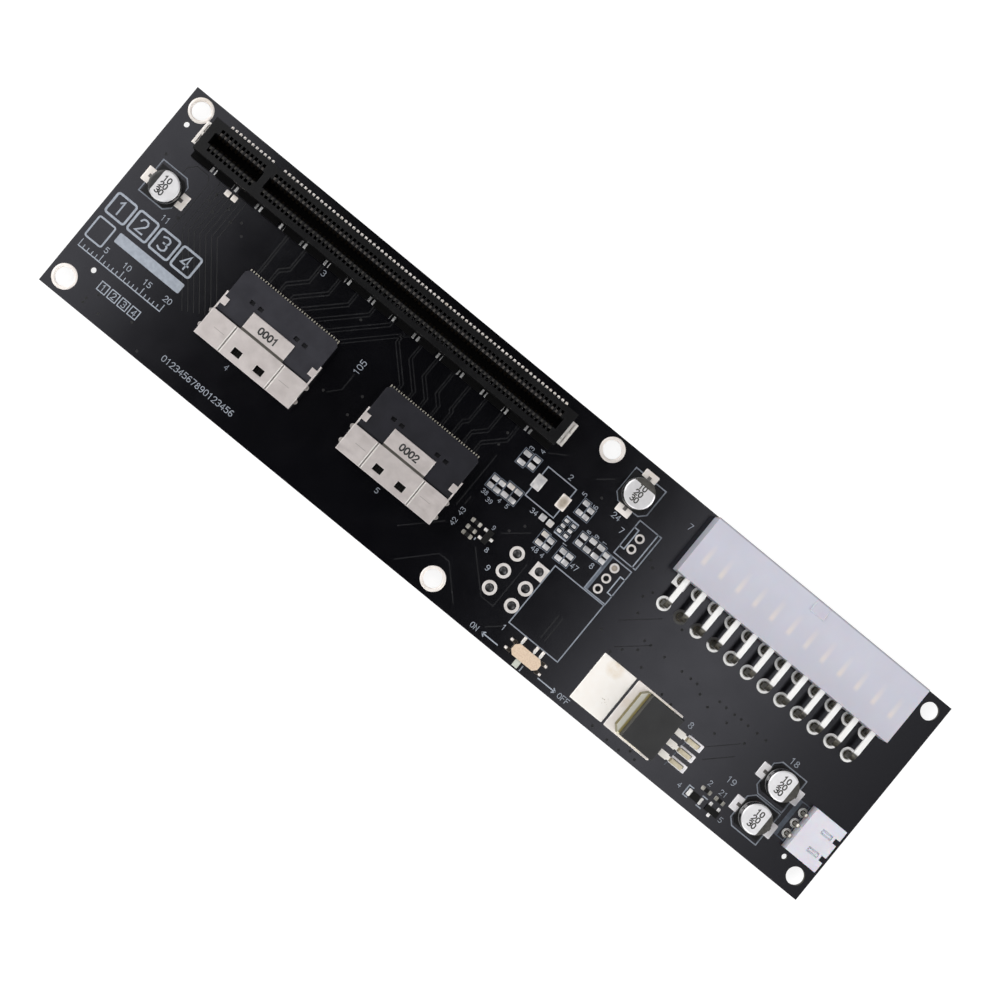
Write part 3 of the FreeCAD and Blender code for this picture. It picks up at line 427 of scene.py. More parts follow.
    def wear(self, grain, depth, rough, strength=0.5):
        """Ends the finish: relief from a noise; the roughness is a socket or drifts between two values."""
        self.relief(self.noise(*grain), depth, strength)
        self.set("Base Color", self.colour)
        self.set("Roughness", self.drift(*rough) if isinstance(rough, tuple) else rough)
        self.set("Normal", self.surface)
        return self.material


def grey(value):
    return (value, value, value)


def moulded(name, dark, light, worn, rough, grain, depth, specular=0.5, edge=0.12):
    """Moulded plastic: cloudy tone, fine grain, edges rubbed paler."""
    finish = Finish(name, specular=specular, edge=edge)
    finish.colour = finish.blend(finish.span(finish.noise(6.0), 0.35, 0.65), dark, light)
    finish.over(finish.rubbed(0.15, 0.8), worn)
    return finish.wear((grain, 2.0), depth, (2.4, 5.0, *rough))


def plated(name, dark, light, rough=(0.3, 0.42), grain=0.8, depth=0.001, metallic=1.0, stain=None):
    """Metal or solder: tone and gloss drift over a fine grain; a stain is the colour of flux marks."""
    finish = Finish(name, metallic, edge=0.08)
    finish.base(dark, light, 1.8, 5.0)
    if stain:
        finish.over(finish.span(finish.noise(3.6, 4.0), 0.56, 0.74, 0.0, 0.55), stain)
    return finish.wear((grain,), depth, (2 * grain, 4.0, *rough))


def coated(name, dark, light, rough=(0.5, 0.7)):
    """Ink, and solder mask over copper or over a gap in it: a thin film with a fine grain."""
    finish = Finish(name)
    finish.base(dark, light, 0.7, 4.0)
    return finish.wear((0.25, 2.0), 0.004, (1.5, 4.0, *rough), 0.4)


def spring_metal(name, lip_z, rubbed):
    """Contact springs: dark bronze, partly their own tone and partly painted shade in the slot; the lip takes
    the given colour, a painted highlight on the near row and painted shade on the far row; bright tin on the
    solder tails.
    """
    finish = Finish(name, 0.9, edge=0.05)
    # Dark bronze base, partly painted shade in the slot.
    finish.base((0.05, 0.04, 0.027), (0.11, 0.085, 0.056), 0.9, 4.0)
    # The lip's colour is painted light: a highlight on the near row, shade on the far row.
    finish.over(finish.zone("Z", lip_z - 0.0009, lip_z - 0.0004), rubbed)
    tin = finish.mottle((0.89, 0.88, 0.865), (0.985, 0.98, 0.97), 0.9, 4.0)
    finish.over(finish.zone("Z", 0.0030, 0.0045, 1.0, 0.0), tin)
    return finish.wear((0.15, 2.0), 0.001, (0.5, 3.0, 0.26, 0.4))


def port_spring(name, back_y):
    """Port contacts: painted all but black inside the housing as its shade, dull tin on the tails behind it.
    """
    finish = Finish(name, 0.7, edge=0.03)
    # Near-black base: painted shade inside the housing.
    finish.base((0.004, 0.0035, 0.003), (0.012, 0.01, 0.008), 0.9, 4.0)
    tin = finish.mottle((0.42, 0.395, 0.33), (0.60, 0.565, 0.48), 0.9, 4.0)
    finish.over(finish.zone("Y", back_y - 0.0004, back_y - 0.0001), tin)
    return finish.wear((0.15, 2.0), 0.0006, (0.5, 3.0, 0.3, 0.45))


def ring_tin(name, dull_low, dull_high, worn_x, first_x, pitch, leg_y):
    """Eyelets: white tin on the flat ring, painted dark inside the bore as its shade.

    Those in front of the header are painted dull olive as the header's shade, the unfitted ones left of
    worn_x are greyer, and painted shade darkens the second ring of the inlet's near row and most of the next
    two.
    """
    finish = Finish(name, 0.1, edge=0.08)
    finish.base((0.59, 0.555, 0.53), (0.74, 0.705, 0.68), 1.8, 5.0)
    white = finish.mottle((0.945, 0.935, 0.915), (0.985, 0.98, 0.965), 1.8, 5.0)
    finish.over(finish.zone("X", worn_x - 0.001, worn_x), white)
    # Painted shade of the header on the rings in front of it.
    before_header = finish.times(finish.zone("X", dull_low.x - 0.001, dull_low.x),
                                 finish.zone("Y", dull_high.y, dull_high.y + 0.001, 1.0, 0.0))
    finish.over(before_header, finish.mottle((0.22, 0.21, 0.155), (0.48, 0.455, 0.37), 1.8, 5.0))
    # Painted shade on the second ring of the inlet's near row and most of the next two.
    step = finish.steps(finish.at("X"), first_x, pitch)
    near_edge = finish.math("MAXIMUM", finish.zone("Y", leg_y - 0.0006, leg_y - 0.0003),
                            finish.span(step, 1.48, 1.52, 1.0, 0.0))
    shadowed_rings = finish.times(finish.span(step, 0.48, 0.52), finish.span(step, 3.48, 3.52, 1.0, 0.0), near_edge,
                        finish.zone("Y", leg_y + 0.0016, leg_y + 0.0017, 0.94, 0.0))
    finish.over(shadowed_rings, (0.012, 0.0108, 0.0085))
    # Painted shade on the upright walls of the bore.
    finish.over(finish.tilt("Z", 0.35, 0.6, 1.0, 0.0), (0.05, 0.045, 0.036))
    return finish.wear((0.6,), 0.001, (1.2, 4.0, 0.26, 0.38))


def stained_pad(name, low, high):
    """Wide bare pad between two corners, in millimetres: near white, with a tan stain and a few specks."""
    finish = Finish(name, 0.15, edge=0.08)
    size = high - low
    finish.base((0.965, 0.92, 0.86), (0.99, 0.958, 0.91), 1.8, 5.0)
    stain = finish.patch(low.x + 0.45 * size.x, low.y + 0.88 * size.y, 2.1, 2.1, 0.1)
    cloud = finish.span(finish.noise(1.1, 4.0), 0.3, 0.6, 0.15, 0.6)
    finish.over(finish.times(stain, cloud), (0.72, 0.58, 0.40))
    flecked = finish.patch(low.x + 0.72 * size.x, low.y + 0.33 * size.y, 1.1, 1.1, 0.1)
    specks = finish.span(finish.noise(0.4, 1.0), 0.6, 0.66, 0.0, 0.6)
    finish.over(finish.times(flecked, specks), (0.30, 0.24, 0.17))
    return finish.wear((0.8,), 0.001, (1.6, 4.0, 0.3, 0.42))


def tanned_pad(name, low, high):
    """Small bare pad between two corners, in millimetres: a pale rim and a tan middle."""
    finish = Finish(name, 0.25, edge=0.08)
    middle = (low + high) / 2
    finish.base((0.80, 0.74, 0.68), (0.92, 0.86, 0.80), 0.8, 5.0)
    core = finish.patch(middle.x, middle.y, 0.52 * (high.x - low.x), 0.52 * (high.y - low.y), 0.2)
    finish.over(core, finish.mottle((0.38, 0.32, 0.25), (0.52, 0.45, 0.37), 0.8, 5.0))
    return finish.wear((0.8,), 0.001, (1.6, 4.0, 0.3, 0.42))


def slot_moulding(name, rim_z):
    """Black insulator of the card slot: glossy on the rim; everything lower is matt and painted blacker as
    shade.
    """
    finish = Finish(name, edge=0.12)
    # Painted shade: everything more than about a millimetre under the rim turns blacker.
    below = finish.zone("Z", rim_z - 0.0012, rim_z - 0.0004, 1.0, 0.0)
    finish.set("Specular IOR Level", finish.span(below, 0.0, 1.0, 0.2, 0.1))
    cloud = finish.span(finish.noise(6.0), 0.35, 0.65)
    finish.colour = finish.blend(cloud, (0.0052, 0.0052, 0.0056), (0.0072, 0.0072, 0.0076))
    finish.over(finish.rubbed(0.1, 0.7), (0.013, 0.013, 0.014))
    finish.over(below, grey(0.0008))
    rough = finish.math("MAXIMUM", finish.drift(2.4, 5.0, 0.2, 0.28), finish.times(below, 0.7))
    return finish.wear((0.16, 2.0), 0.003, rough)


def drawn_pin(name, leg_y):
    """Bright tinned pin, painted dark as shade where it turns down into the board."""
    finish = Finish(name, 0.3, edge=0.08)
    finish.base((0.95, 0.94, 0.915), (0.99, 0.985, 0.97), 2.0)
    # The dark patches where the pin turns down are painted shade.
    patches = finish.span(finish.noise(0.6), 0.4, 0.6)
    flux = finish.blend(patches, (0.014, 0.0125, 0.009), (0.07, 0.063, 0.046))
    finish.over(finish.zone("Y", leg_y + 0.0007, leg_y + 0.00095, 1.0, 0.0), flux)
    return finish.wear((0.6, 2.0, (1, 0.2, 1)), 0.0006, (1.2, 3.0, 0.28, 0.4))


def formed_lead(name):
    """Tinned copper lead: pale on the flat runs, tan on the foot, painted dark as shade on the slope between
    them.
    """
    finish = Finish(name, 0.25, edge=0.05)
    finish.base((0.93, 0.885, 0.81), (0.98, 0.95, 0.89), 1.2)
    foot = finish.mottle((0.58, 0.50, 0.34), (0.80, 0.73, 0.57), 1.2)
    finish.over(finish.zone("Z", 0.0023, 0.0026, 1.0, 0.0), foot)
    # Painted shade on the sloping part.
    finish.over(finish.tilt("Z", 0.75, 0.95, 1.0, 0.0), (0.17, 0.14, 0.08))
    return finish.wear((0.4, 2.0), 0.0006, (0.8, 3.0, 0.26, 0.4))


def rolled_tab(name, body_x):
    """Heat tab: silvery top, with painted light on its faces: pale gold highlights on the bevels that face
    along y, dark shade on the faces that lean towards -x, and darker gold shade in the corner beside the
    body.
    """
    finish = Finish(name, 0.65, edge=0.05)
    drawn = (1, 0.2, 1)
    finish.base((0.74, 0.72, 0.62), (0.86, 0.84, 0.75), 1.4, 3.0, drawn)
    # Painted shade in the corner beside the body.
    finish.over(finish.zone("X", body_x - 0.0006, body_x - 0.0003), (0.36, 0.30, 0.12))
    # Painted highlight on the bevels that face along y.
    finish.over(finish.tilt("Y", 0.3, 0.6), (0.95, 0.90, 0.68))
    # Painted shade on the faces that lean towards -x.
    finish.over(finish.lean("X", -0.6, -0.3, 1.0, 0.0), (0.20, 0.172, 0.085))
    return finish.wear((0.6, 2.0, (1, 0.12, 1)), 0.0004, (0.7, 4.0, 0.36, 0.46, drawn))


def stamped_cover(name, foot_z):
    """Coppery cover of the switch, painted dark as shade on the legs that fold down to the board."""
    finish = Finish(name, 0.5, edge=0.1)
    finish.base((0.80, 0.60, 0.43), (0.97, 0.78, 0.61), 0.3, 4.0)
    # Painted shade on the legs.
    finish.over(finish.zone("Z", foot_z, foot_z + 0.0003, 1.0, 0.0), (0.035, 0.028, 0.022))
    finish.over(finish.times(finish.worn, 0.5), (0.98, 0.84, 0.70))
    return finish.wear((0.25,), 0.004, (0.5, 4.0, 0.3, 0.44))


def folded_shell(name, roof_z):
    """Nickel shell of a cable port: drawn grain, painted shade in the roof's crease and low down on the
    sides, and painted highlights on its edges.
    """
    finish = Finish(name, 0.85, edge=0.14)
    drawn = (0.15, 1, 1)
    finish.base((0.635, 0.58, 0.56), (0.75, 0.69, 0.67), 2.2, 5.0)
    # Painted shade low down on the sides.
    finish.over(finish.zone("Z", roof_z - 0.0016, roof_z - 0.0006, 0.7, 0.0), (0.30, 0.28, 0.26))
    # Painted highlights on the sharp edges.
    finish.over(finish.times(finish.worn, 0.7), (0.93, 0.90, 0.87))
    # Painted shade on the crease's slope that faces +y.
    crease = finish.times(finish.lean("Y", 0.2, 0.35, 0.0, 0.9), finish.lean("Z", 0.4, 0.6))
    finish.over(crease, (0.19, 0.178, 0.155))
    return finish.wear((0.22, 3.0, drawn), 0.0025, (0.5, 4.0, 0.34, 0.46, drawn))


def lacquered_board(name):
    """Black solder mask above and below, with the glass weave showing faintly; cut laminate on the edges."""
    finish = Finish(name)
    finish.set("Specular Tint", (0.9, 0.9, 1.0, 1))
    cut = finish.tilt("Z", 0.4, 0.6, 1.0, 0.0)
    finish.base((0.0011, 0.0011, 0.0017), (0.0017, 0.0017, 0.0025), 9.0, 4.0)
    finish.over(finish.span(finish.noise(0.35, 1.0), 0.74, 0.8, 0.0, 0.35), (0.03, 0.03, 0.033))
    finish.over(cut, finish.mottle((0.026, 0.022, 0.012), (0.075, 0.066, 0.036), 0.5, 4.0, (0.25, 0.25, 3.0)))
    finish.relief(finish.math("ADD", finish.threads(0.48, "X"), finish.threads(0.44, "Y")), 0.0006, 0.3)
    rough = finish.math("MAXIMUM", finish.drift(5.0, 6.0, 0.128, 0.158), finish.times(cut, 0.75))
    return finish.wear((0.9,), 0.001, rough, 0.35)


def inlet_nylon(name, first_x, pitch, low_y, high_y):
    """Pale nylon on which the row of pins inside is painted faintly as warm bars on top, a painted glow of
    the light that comes through.

    It is painted a little greyer towards the near face as shade, the far rim of the top is painted in shade,
    and the latch in its middle has painted white highlights on its edges.
    """
    finish = Finish(name, specular=0.4, edge=0.18)
    finish.scatter(0.25, 1.5)
    x = finish.steps(finish.at("X"), first_x, pitch)
    off_pin = finish.math("SUBTRACT", finish.math("FRACT", finish.math("ADD", x, 0.5)), 0.5)
    bar = finish.span(finish.math("ABSOLUTE", off_pin), 0.05, 0.17, 1.0, 0.0)
    near = low_y + 0.0035
    far = low_y + 0.0088
    # Painted glow of the pins through the nylon, on upward faces only.
    glow = finish.times(bar, finish.zone("Y", near, near + 0.0008), finish.zone("Y", far, near + 0.0012),
                        finish.lean("Z", 0.6, 0.9, 0.0, 0.55))
    finish.base((0.55, 0.55, 0.625), (0.585, 0.585, 0.66), 7.0, 4.0)
    # Painted shade towards the near face.
    finish.over(finish.zone("Y", low_y, low_y + 0.009, 0.3, 0.0), (0.40, 0.385, 0.43))
    # Painted shade along the far rim of the top.
    finish.over(finish.zone("Y", high_y - 0.0004, high_y - 0.0001, 0.0, 0.75), (0.16, 0.16, 0.18))
    finish.over(glow, (0.78, 0.69, 0.615))
    finish.over(finish.times(finish.worn, 0.4), (0.74, 0.74, 0.78))
    off_latch = finish.math("ABSOLUTE", finish.math("SUBTRACT", x, 5.5))
    # Painted highlight on the latch's edges.
    latch = finish.times(finish.worn, finish.span(off_latch, 0.44, 0.46, 1.0, 0.0),
                         finish.zone("Y", high_y - 0.0032, high_y - 0.0031),
                         finish.zone("Y", high_y - 0.0006, high_y - 0.0005, 1.0, 0.0))
    finish.over(latch, (0.90, 0.90, 0.92))
    return finish.wear((0.3, 2.0), 0.006, (3.0, 4.0, 0.36, 0.5), 0.35)


def header_nylon(name):
    """Whiter nylon of the small header."""
    finish = Finish(name, specular=0.4, edge=0.12)
    finish.scatter(0.35, 1.2)
    finish.base((0.675, 0.665, 0.725), (0.725, 0.715, 0.77), 4.0, 4.0)
    finish.over(finish.times(finish.worn, 0.4), (0.82, 0.82, 0.84))
    return finish.wear((0.3, 2.0), 0.005, (2.0, 4.0, 0.38, 0.52), 0.35)


def port_nylon(name, dark, light):
    """Dark insulator of the cable ports, painted blacker inside the shell than on the open back, as shade."""
    finish = Finish(name, specular=0.34, edge=0.12)
    face_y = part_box("port_1_shell")[0].y
    finish.colour = finish.blend(finish.span(finish.noise(3.0, 4.0), 0.35, 0.65), dark, light)
    finish.over(finish.rubbed(0.1, 0.7), (0.06, 0.058, 0.07))
    # Painted shade inside the shell.
    finish.over(finish.zone("Y", face_y + 0.0055, face_y + 0.006, 1.0, 0.0), (0.0015, 0.0014, 0.0014))
    return finish.wear((0.18, 2.0), 0.006, (2.4, 5.0, 0.42, 0.56))


def rolled_can(name, lid_dark, lid_light):
    """Aluminium can: a bright brushed top and a shinier drawn side, painted dark grey as shade."""
    finish = Finish(name, edge=0.1)
    top = finish.lean("Z", 0.6, 0.95)
    finish.set("Metallic", finish.span(top, 0.0, 1.0, 1.0, 0.55))
    # Dark grey side: painted shade.
    finish.base(grey(0.15), grey(0.24), 1.6, 4.0)
    finish.over(top, finish.mottle(lid_dark, lid_light, 1.6, 4.0))
    rough = finish.span(finish.math("ADD", top, finish.noise(0.8)), 0.3, 1.7, 0.24, 0.42)
    return finish.wear((0.4, 2.0, (1, 1, 0.1)), 0.0008, rough)


def dress(finish, *names):
    """Gives nodes a finish."""
    for name in names:
        nodes[name].data.materials[0] = finish


PIN_PITCH = 0.0042
PIN_HALF = 0.00055
inlet_pins = ("power_inlet_upper_pins", "power_inlet_lower_pins")
inlet_low, inlet_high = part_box("power_inlet_housing")
pins_low, pins_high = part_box("power_inlet_lower_pins")
first_pin_x = (pins_low.x + pins_high.x) / 2 - 5.5 * PIN_PITCH
near_leg_y = min(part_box(pins)[0].y for pins in inlet_pins) + PIN_HALF

over_copper = coated("mask_over_copper", (0.0040, 0.0042, 0.0056), (0.0064, 0.0066, 0.0082), (0.2, 0.28))
over_gap = coated("mask_over_gap", (0.0012, 0.0012, 0.0016), (0.0018, 0.0018, 0.0023), (0.4, 0.55))
white_ink = coated("white_ink", (0.285, 0.315, 0.365), (0.385, 0.42, 0.475))
faded_ink = coated("faded_ink", (0.085, 0.102, 0.13), (0.13, 0.152, 0.188))
soft_ink = coated("soft_ink", (0.19, 0.212, 0.25), (0.265, 0.29, 0.335))
dark_ink = coated("dark_ink", (0.012, 0.012, 0.013), (0.03, 0.029, 0.03), (0.4, 0.6))
grey_ink = coated("grey_ink", (0.038, 0.036, 0.032), (0.072, 0.068, 0.06), (0.8, 0.95))
shaded_hole = coated("shaded_hole", (0.006, 0.0058, 0.0055), (0.012, 0.0115, 0.011))
seam_shade = coated("seam_shade", (0.17, 0.155, 0.14), (0.25, 0.235, 0.22))
grey_nickel = plated("grey_nickel", (0.40, 0.365, 0.35), (0.5, 0.46, 0.44), (0.34, 0.46), 0.5, metallic=0.85)
# Painted highlights for the lips beside the shell seams.
lip_highlight_nickel = plated("lip_highlight_nickel", (0.84, 0.80, 0.77), (0.93, 0.89, 0.86), grain=0.5, metallic=0.6)
tinned = plated("tinned_pad", (0.92, 0.855, 0.8), (0.98, 0.925, 0.88), metallic=0.25, stain=(0.8, 0.68, 0.53))
pad_tin = plated("pad_tin", (0.37, 0.365, 0.375), (0.80, 0.785, 0.78), metallic=0.5, stain=(0.55, 0.46, 0.36))
aged_tin = plated("aged_tin", (0.34, 0.285, 0.22), (0.46, 0.405, 0.34), metallic=0.3,
                  stain=(0.28, 0.215, 0.15))
fresh_tin = plated("fresh_tin", (0.95, 0.925, 0.94), (0.99, 0.97, 0.985), metallic=0.25)
chip_tin = plated("chip_tin", (0.2, 0.19, 0.165), (0.7, 0.675, 0.62), metallic=0.5, stain=(0.3, 0.25, 0.18))
# Capacitor leads: dark grey, partly tarnish and partly painted shade.
lead_tin = plated("lead_tin", (0.12, 0.115, 0.11), (0.2, 0.19, 0.18), (0.24, 0.36), 0.5, metallic=0.7)
pin_tin = plated("header_pin_metal", (0.34, 0.32, 0.28), (0.5, 0.48, 0.44), (0.24, 0.36), 0.5, metallic=0.7)
solder = plated("solder", (0.78, 0.76, 0.73), (0.9, 0.88, 0.85), (0.2, 0.32), 0.5, 0.006, 0.85)
dull_solder = plated("dull_solder", (0.055, 0.055, 0.057), (0.105, 0.105, 0.107), (0.36, 0.5), 0.3, 0.01)
# Near-black solder: painted shade in the bores round the pins and beside the power leads.
shaded_solder = plated("shaded_solder", (0.022, 0.02, 0.014), (0.085, 0.075, 0.052), (0.2, 0.32), 0.5, 0.004, 0.6)
small_compound = moulded("small_compound", (0.0022, 0.0021, 0.002), (0.0042, 0.004, 0.0038), grey(0.02),
                         (0.5, 0.65), 0.12, 0.004, specular=0.22, edge=0.05)
pale_header = header_nylon("header_nylon")

finishes = {
    "board_laminate": lacquered_board("solder_mask"),
    "tinned_copper": tinned,
    "solder": solder,
    "slot_plastic": slot_moulding("slot_plastic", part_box("slot_housing")[1].z),
    # Near row: its lip colour is a painted highlight.
    "contact_metal": spring_metal("contact_metal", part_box("slot_contacts_near")[1].z, (0.27, 0.26, 0.24)),
    "tinned_steel": plated("tinned_steel", (0.84, 0.80, 0.75), (0.94, 0.90, 0.86), (0.26, 0.4), 0.6,
                           metallic=0.45),
    "port_plastic": port_nylon("port_plastic", (0.0145, 0.014, 0.0198), (0.0215, 0.021, 0.028)),
    "port_shell_metal": folded_shell("port_shell_metal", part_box("port_1_shell")[1].z),
    "pale_nylon": inlet_nylon("pale_nylon", first_pin_x, PIN_PITCH, inlet_low.y, inlet_high.y),
    "pin_metal": plated("pin_metal", (0.9, 0.885, 0.855), (0.97, 0.96, 0.94), (0.26, 0.38), 0.6,
                        metallic=0.35),
    "can_aluminium": rolled_can("can_aluminium", (0.69, 0.68, 0.69), (0.79, 0.78, 0.79)),
    "cap_base_plastic": moulded("cap_base_plastic", (0.0022, 0.0022, 0.0026), (0.004, 0.004, 0.0045),
                                grey(0.016), (0.4, 0.55), 0.2, 0.003, specular=0.35),
    "tab_metal": rolled_tab("tab_metal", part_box("transistor_body")[0].x),
    "mould_compound": moulded("mould_compound", grey(0.016), grey(0.022), grey(0.06), (0.45, 0.6), 0.12,
                              0.008),
    "switch_cover_metal": stamped_cover("switch_cover_metal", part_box("switch_cover")[1].z - 0.0006),
    "switch_plastic": moulded("switch_plastic", grey(0.01), grey(0.016), grey(0.05), (0.4, 0.55), 0.2, 0.006),
    "lever_plastic": moulded("lever_plastic", (0.50, 0.525, 0.46), (0.58, 0.60, 0.53), (0.72, 0.73, 0.66),
                             (0.35, 0.5), 0.2, 0.006, edge=0.08),
    "resistor_ceramic": small_compound,
}
for part in frame["record"]["subparts"]:
    dress(finishes[part["material_slot"]], part["node"])
dress(ring_tin("ring_tin", *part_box("side_header_housing"), inlet_low.x, first_pin_x, PIN_PITCH, near_leg_y),
      "plated_holes")
for port in (1, 2):
    dress(port_spring(f"port_{port}_spring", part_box(f"port_{port}_housing")[1].y), f"port_{port}_contacts")
# Port 2 gets a darker copy of the insulator as painted shade.
dress(port_nylon("shaded_port_plastic", (0.0032, 0.003, 0.0066), (0.0062, 0.0059, 0.0106)), "port_2_housing")
# Far row: its lip colour is painted shade.
dress(spring_metal("shaded_contact_metal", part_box("slot_contacts_far")[1].z, (0.035, 0.032, 0.03)),
      "slot_contacts_far")
dress(formed_lead("lead_metal"), "transistor_leads")
for pins, name in zip(inlet_pins, ("upper_pin_metal", "lower_pin_metal")):
    dress(drawn_pin(name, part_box(pins)[0].y + PIN_HALF), pins)
dress(pin_tin, "side_header_pins")
dress(lead_tin, *(f"capacitor_{n}_leads" for n in range(1, 5)))
# Cans 3 and 4 get a brighter copy of the aluminium as painted light.
dress(rolled_can("painted_light_can", (0.86, 0.85, 0.865), (0.96, 0.95, 0.965)),
      "capacitor_3_can", "capacitor_4_can")
dress(pale_header, "side_header_housing")
dress(chip_tin, "resistor_ends")
dress(small_compound, "diode_body", "small_transistor_bodies")

# Solder-levelled pads: rounded corners and a rolled edge, on the same places as the plain pads
PAD_RISE = 0.08
WIDE_PAD = 5
DULL_X = (60, 120)
AGED_X = (101.5, 106)
AGED_Y = (27, 35)
AGED_LEAST = 1.2
bright_pads = Sketch()
dull_pads = Sketch()
aged_pad = Sketch()
spare_pad = Sketch()
bare_pads = island_boxes("bare_pads")
for low, high in bare_pads:
    least = min(high.x - low.x, high.y - low.y)
    kind = dull_pads if DULL_X[0] < low.x < DULL_X[1] else bright_pads
    if least > WIDE_PAD:
        kind = spare_pad
        spare_tin = stained_pad("spare_tin", low, high)
    if least > AGED_LEAST and AGED_X[0] < low.x < AGED_X[1] and AGED_Y[0] < low.y < AGED_Y[1]:
        kind = aged_pad
        pad_tan = tanned_pad("pad_tan", low, high)
    kind.pillow(low.x, low.y, high.x, high.y, BOARD_TOP, BOARD_TOP + PAD_RISE,
                min(0.2, 0.25 * least), min(0.15, 0.2 * least))
for sketch, name, finish in ((bright_pads, "levelled_pads", tinned), (dull_pads, "dull_pads", pad_tin),
                             (aged_pad, "aged_pad", pad_tan), (spare_pad, "spare_pad", spare_tin)):
    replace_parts(sketch.piece(name, finish, "tinned_copper", smooth=True), "bare_pads")

CHIP_PAD = (0.8, 0.9)
RIGHT_PART = 150
left_pads = Sketch()
right_pads = Sketch()
chip_pads = Sketch()
for low, high in island_boxes("component_pads"):
    least = min(high.x - low.x, high.y - low.y)
    kind = right_pads if low.x > RIGHT_PART else left_pads
    if abs(high.x - low.x - CHIP_PAD[0]) < 0.02 and abs(high.y - low.y - CHIP_PAD[1]) < 0.02:
        kind = chip_pads
    kind.pillow(low.x, low.y, high.x, high.y, BOARD_TOP, high.z,
                min(0.12, 0.25 * least), min(0.2, 0.25 * least))
for sketch, name, finish in ((left_pads, "fitted_pads_left", tinned),
                             (right_pads, "fitted_pads_right", fresh_tin),
                             (chip_pads, "chip_pads", chip_tin)):
    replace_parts(sketch.piece(name, finish, "tinned_copper", smooth=True), "component_pads")

# Painted shadow: a dark line beside and before the foot of each power lead
pad_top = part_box("component_pads")[1].z / MM
lead_shadow_lines = Sketch()
for low, high in island_boxes("transistor_leads"):
    middle = (low.y + high.y) / 2
    before = high.x + 0.1
    lead_shadow_lines.ribbon([(high.x - 2.4, middle + 0.54), (before, middle + 0.54), (before, middle + 0.1)], 0.16,
                      pad_top - 0.01, pad_top + 0.012)
lead_shadow_lines.piece("lead_shadow_lines", shaded_solder, "tinned_copper")

RING_BORE = 1.88
rings = Sketch()
for low, high in island_boxes("mounting_rings"):
    middle = (low + high) / 2
    rings.ring(middle.x, middle.y, RING_BORE, (high.x - low.x) / 2 - 0.02, high.z - 0.01, high.z + 0.05, 48)
rings.piece("levelled_rings", tinned, "tinned_copper", smooth=True)

# Solder in the unfitted holes: a dull hollow in each large one, a dark one in each small one, and one full
FULL_FROM = 1.5
LARGE_HOLE = 0.7
FOOT = ((1, 0.02), (0.8, -0.08), (0.4, -0.13), (0.05, -0.14))
HOLLOW = ((1, 1.3), (0.85, 1.1), (0.6, 0.96), (0.3, 0.9), (0.05, 0.89))
hollows = Sketch()
wells = Sketch()
full = Sketch()
feet = Sketch()
for low, high in island_boxes("hole_plugs"):
    middle = (low + high) / 2
    radius = (high.x - low.x) / 2
    feet.turned(middle.x, middle.y, [(share * radius, z) for share, z in FOOT])
    if high.z > FULL_FROM:
        full.dome(middle.x, middle.y, radius, BOARD_TOP - 0.1, 0.12, 20)
        continue
    kind = hollows if radius > LARGE_HOLE else wells
    kind.turned(middle.x, middle.y, [(share * radius, z) for share, z in HOLLOW], 24)
for sketch, name, finish in ((hollows, "dished_solder", dull_solder), (wells, "dark_wells", shaded_hole),
                             (full, "full_joint", aged_tin), (feet, "plug_feet", solder)):
    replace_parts(sketch.piece(name, finish, "solder", smooth=True), "hole_plugs")

# Solder drawn up round the pins inside their rings, painted near-black as the shade in the bores
menisci = Sketch()
ring_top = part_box("plated_holes")[1].z / MM
for node, pin, wet in (*((pins, 1.1, 1.02) for pins in inlet_pins), ("side_header_pins", 0.64, 0.85)):
    for low, high in island_boxes(node):
        x = (low.x + high.x) / 2
        y = low.y + pin / 2
        if node == "side_header_pins":
            x = low.x + pin / 2
            y = (low.y + high.y) / 2
        rise = ((wet, -0.01), (0.97 * wet, 0.02), (0.86 * wet, -0.02), (0.62 * wet, -0.05),
                (0.55 * pin, 0.08), (0.48 * pin, 0.3))
        menisci.turned(x, y, [(radius, ring_top + z) for radius, z in rise], 24)
menisci.piece("pin_menisci", shaded_solder, "solder", smooth=True)

# Solder beads over the slot's far row of tails, on the switch's feet and terminals
beads = Sketch()
for low, high in island_boxes("slot_contacts_far"):
    beads.dome((low.x + high.x) / 2, high.y - 0.23, 0.33, BOARD_TOP, 0.36)
for x in (113.95, 122.25):
    for y in (2.28, 4.22):
        beads.pillow(x - 0.36, y - 0.33, x + 0.36, y + 0.33, BOARD_TOP, 2.12, 0.2, 0.2)
for low, high in island_boxes("switch_terminals"):
    middle = (low.x + high.x) / 2
    beads.pillow(middle - 0.21, high.y - 0.75, middle + 0.21, high.y + 0.15, BOARD_TOP, 2.0, 0.12, 0.12)
beads.piece("solder_beads", tinned, "solder", smooth=True)

# White print: frames round the parts
part_frames = Sketch()
frames = [rectangle(98.22, 27.29, 105.23, 34.34), rectangle(111.37, 6.34, 123.49, 20.43),
          rectangle(118.35, 20.74, 123.56, 28.8), rectangle(118.48, 29.6, 123.83, 37.57),
          chamfered(3.81, 25.39, 10.84, 32.94, "right"), chamfered(111.45, 37.87, 118.88, 45.02, "near"),
          chamfered(168.41, 11.3, 175.64, 19.06, "left"), chamfered(168.43, 3.29, 175.66, 10.9, "left")]
for outline in frames:
    part_frames.ribbon(outline, closed=True)
part_frames.piece("part_frames", soft_ink, "board_laminate")

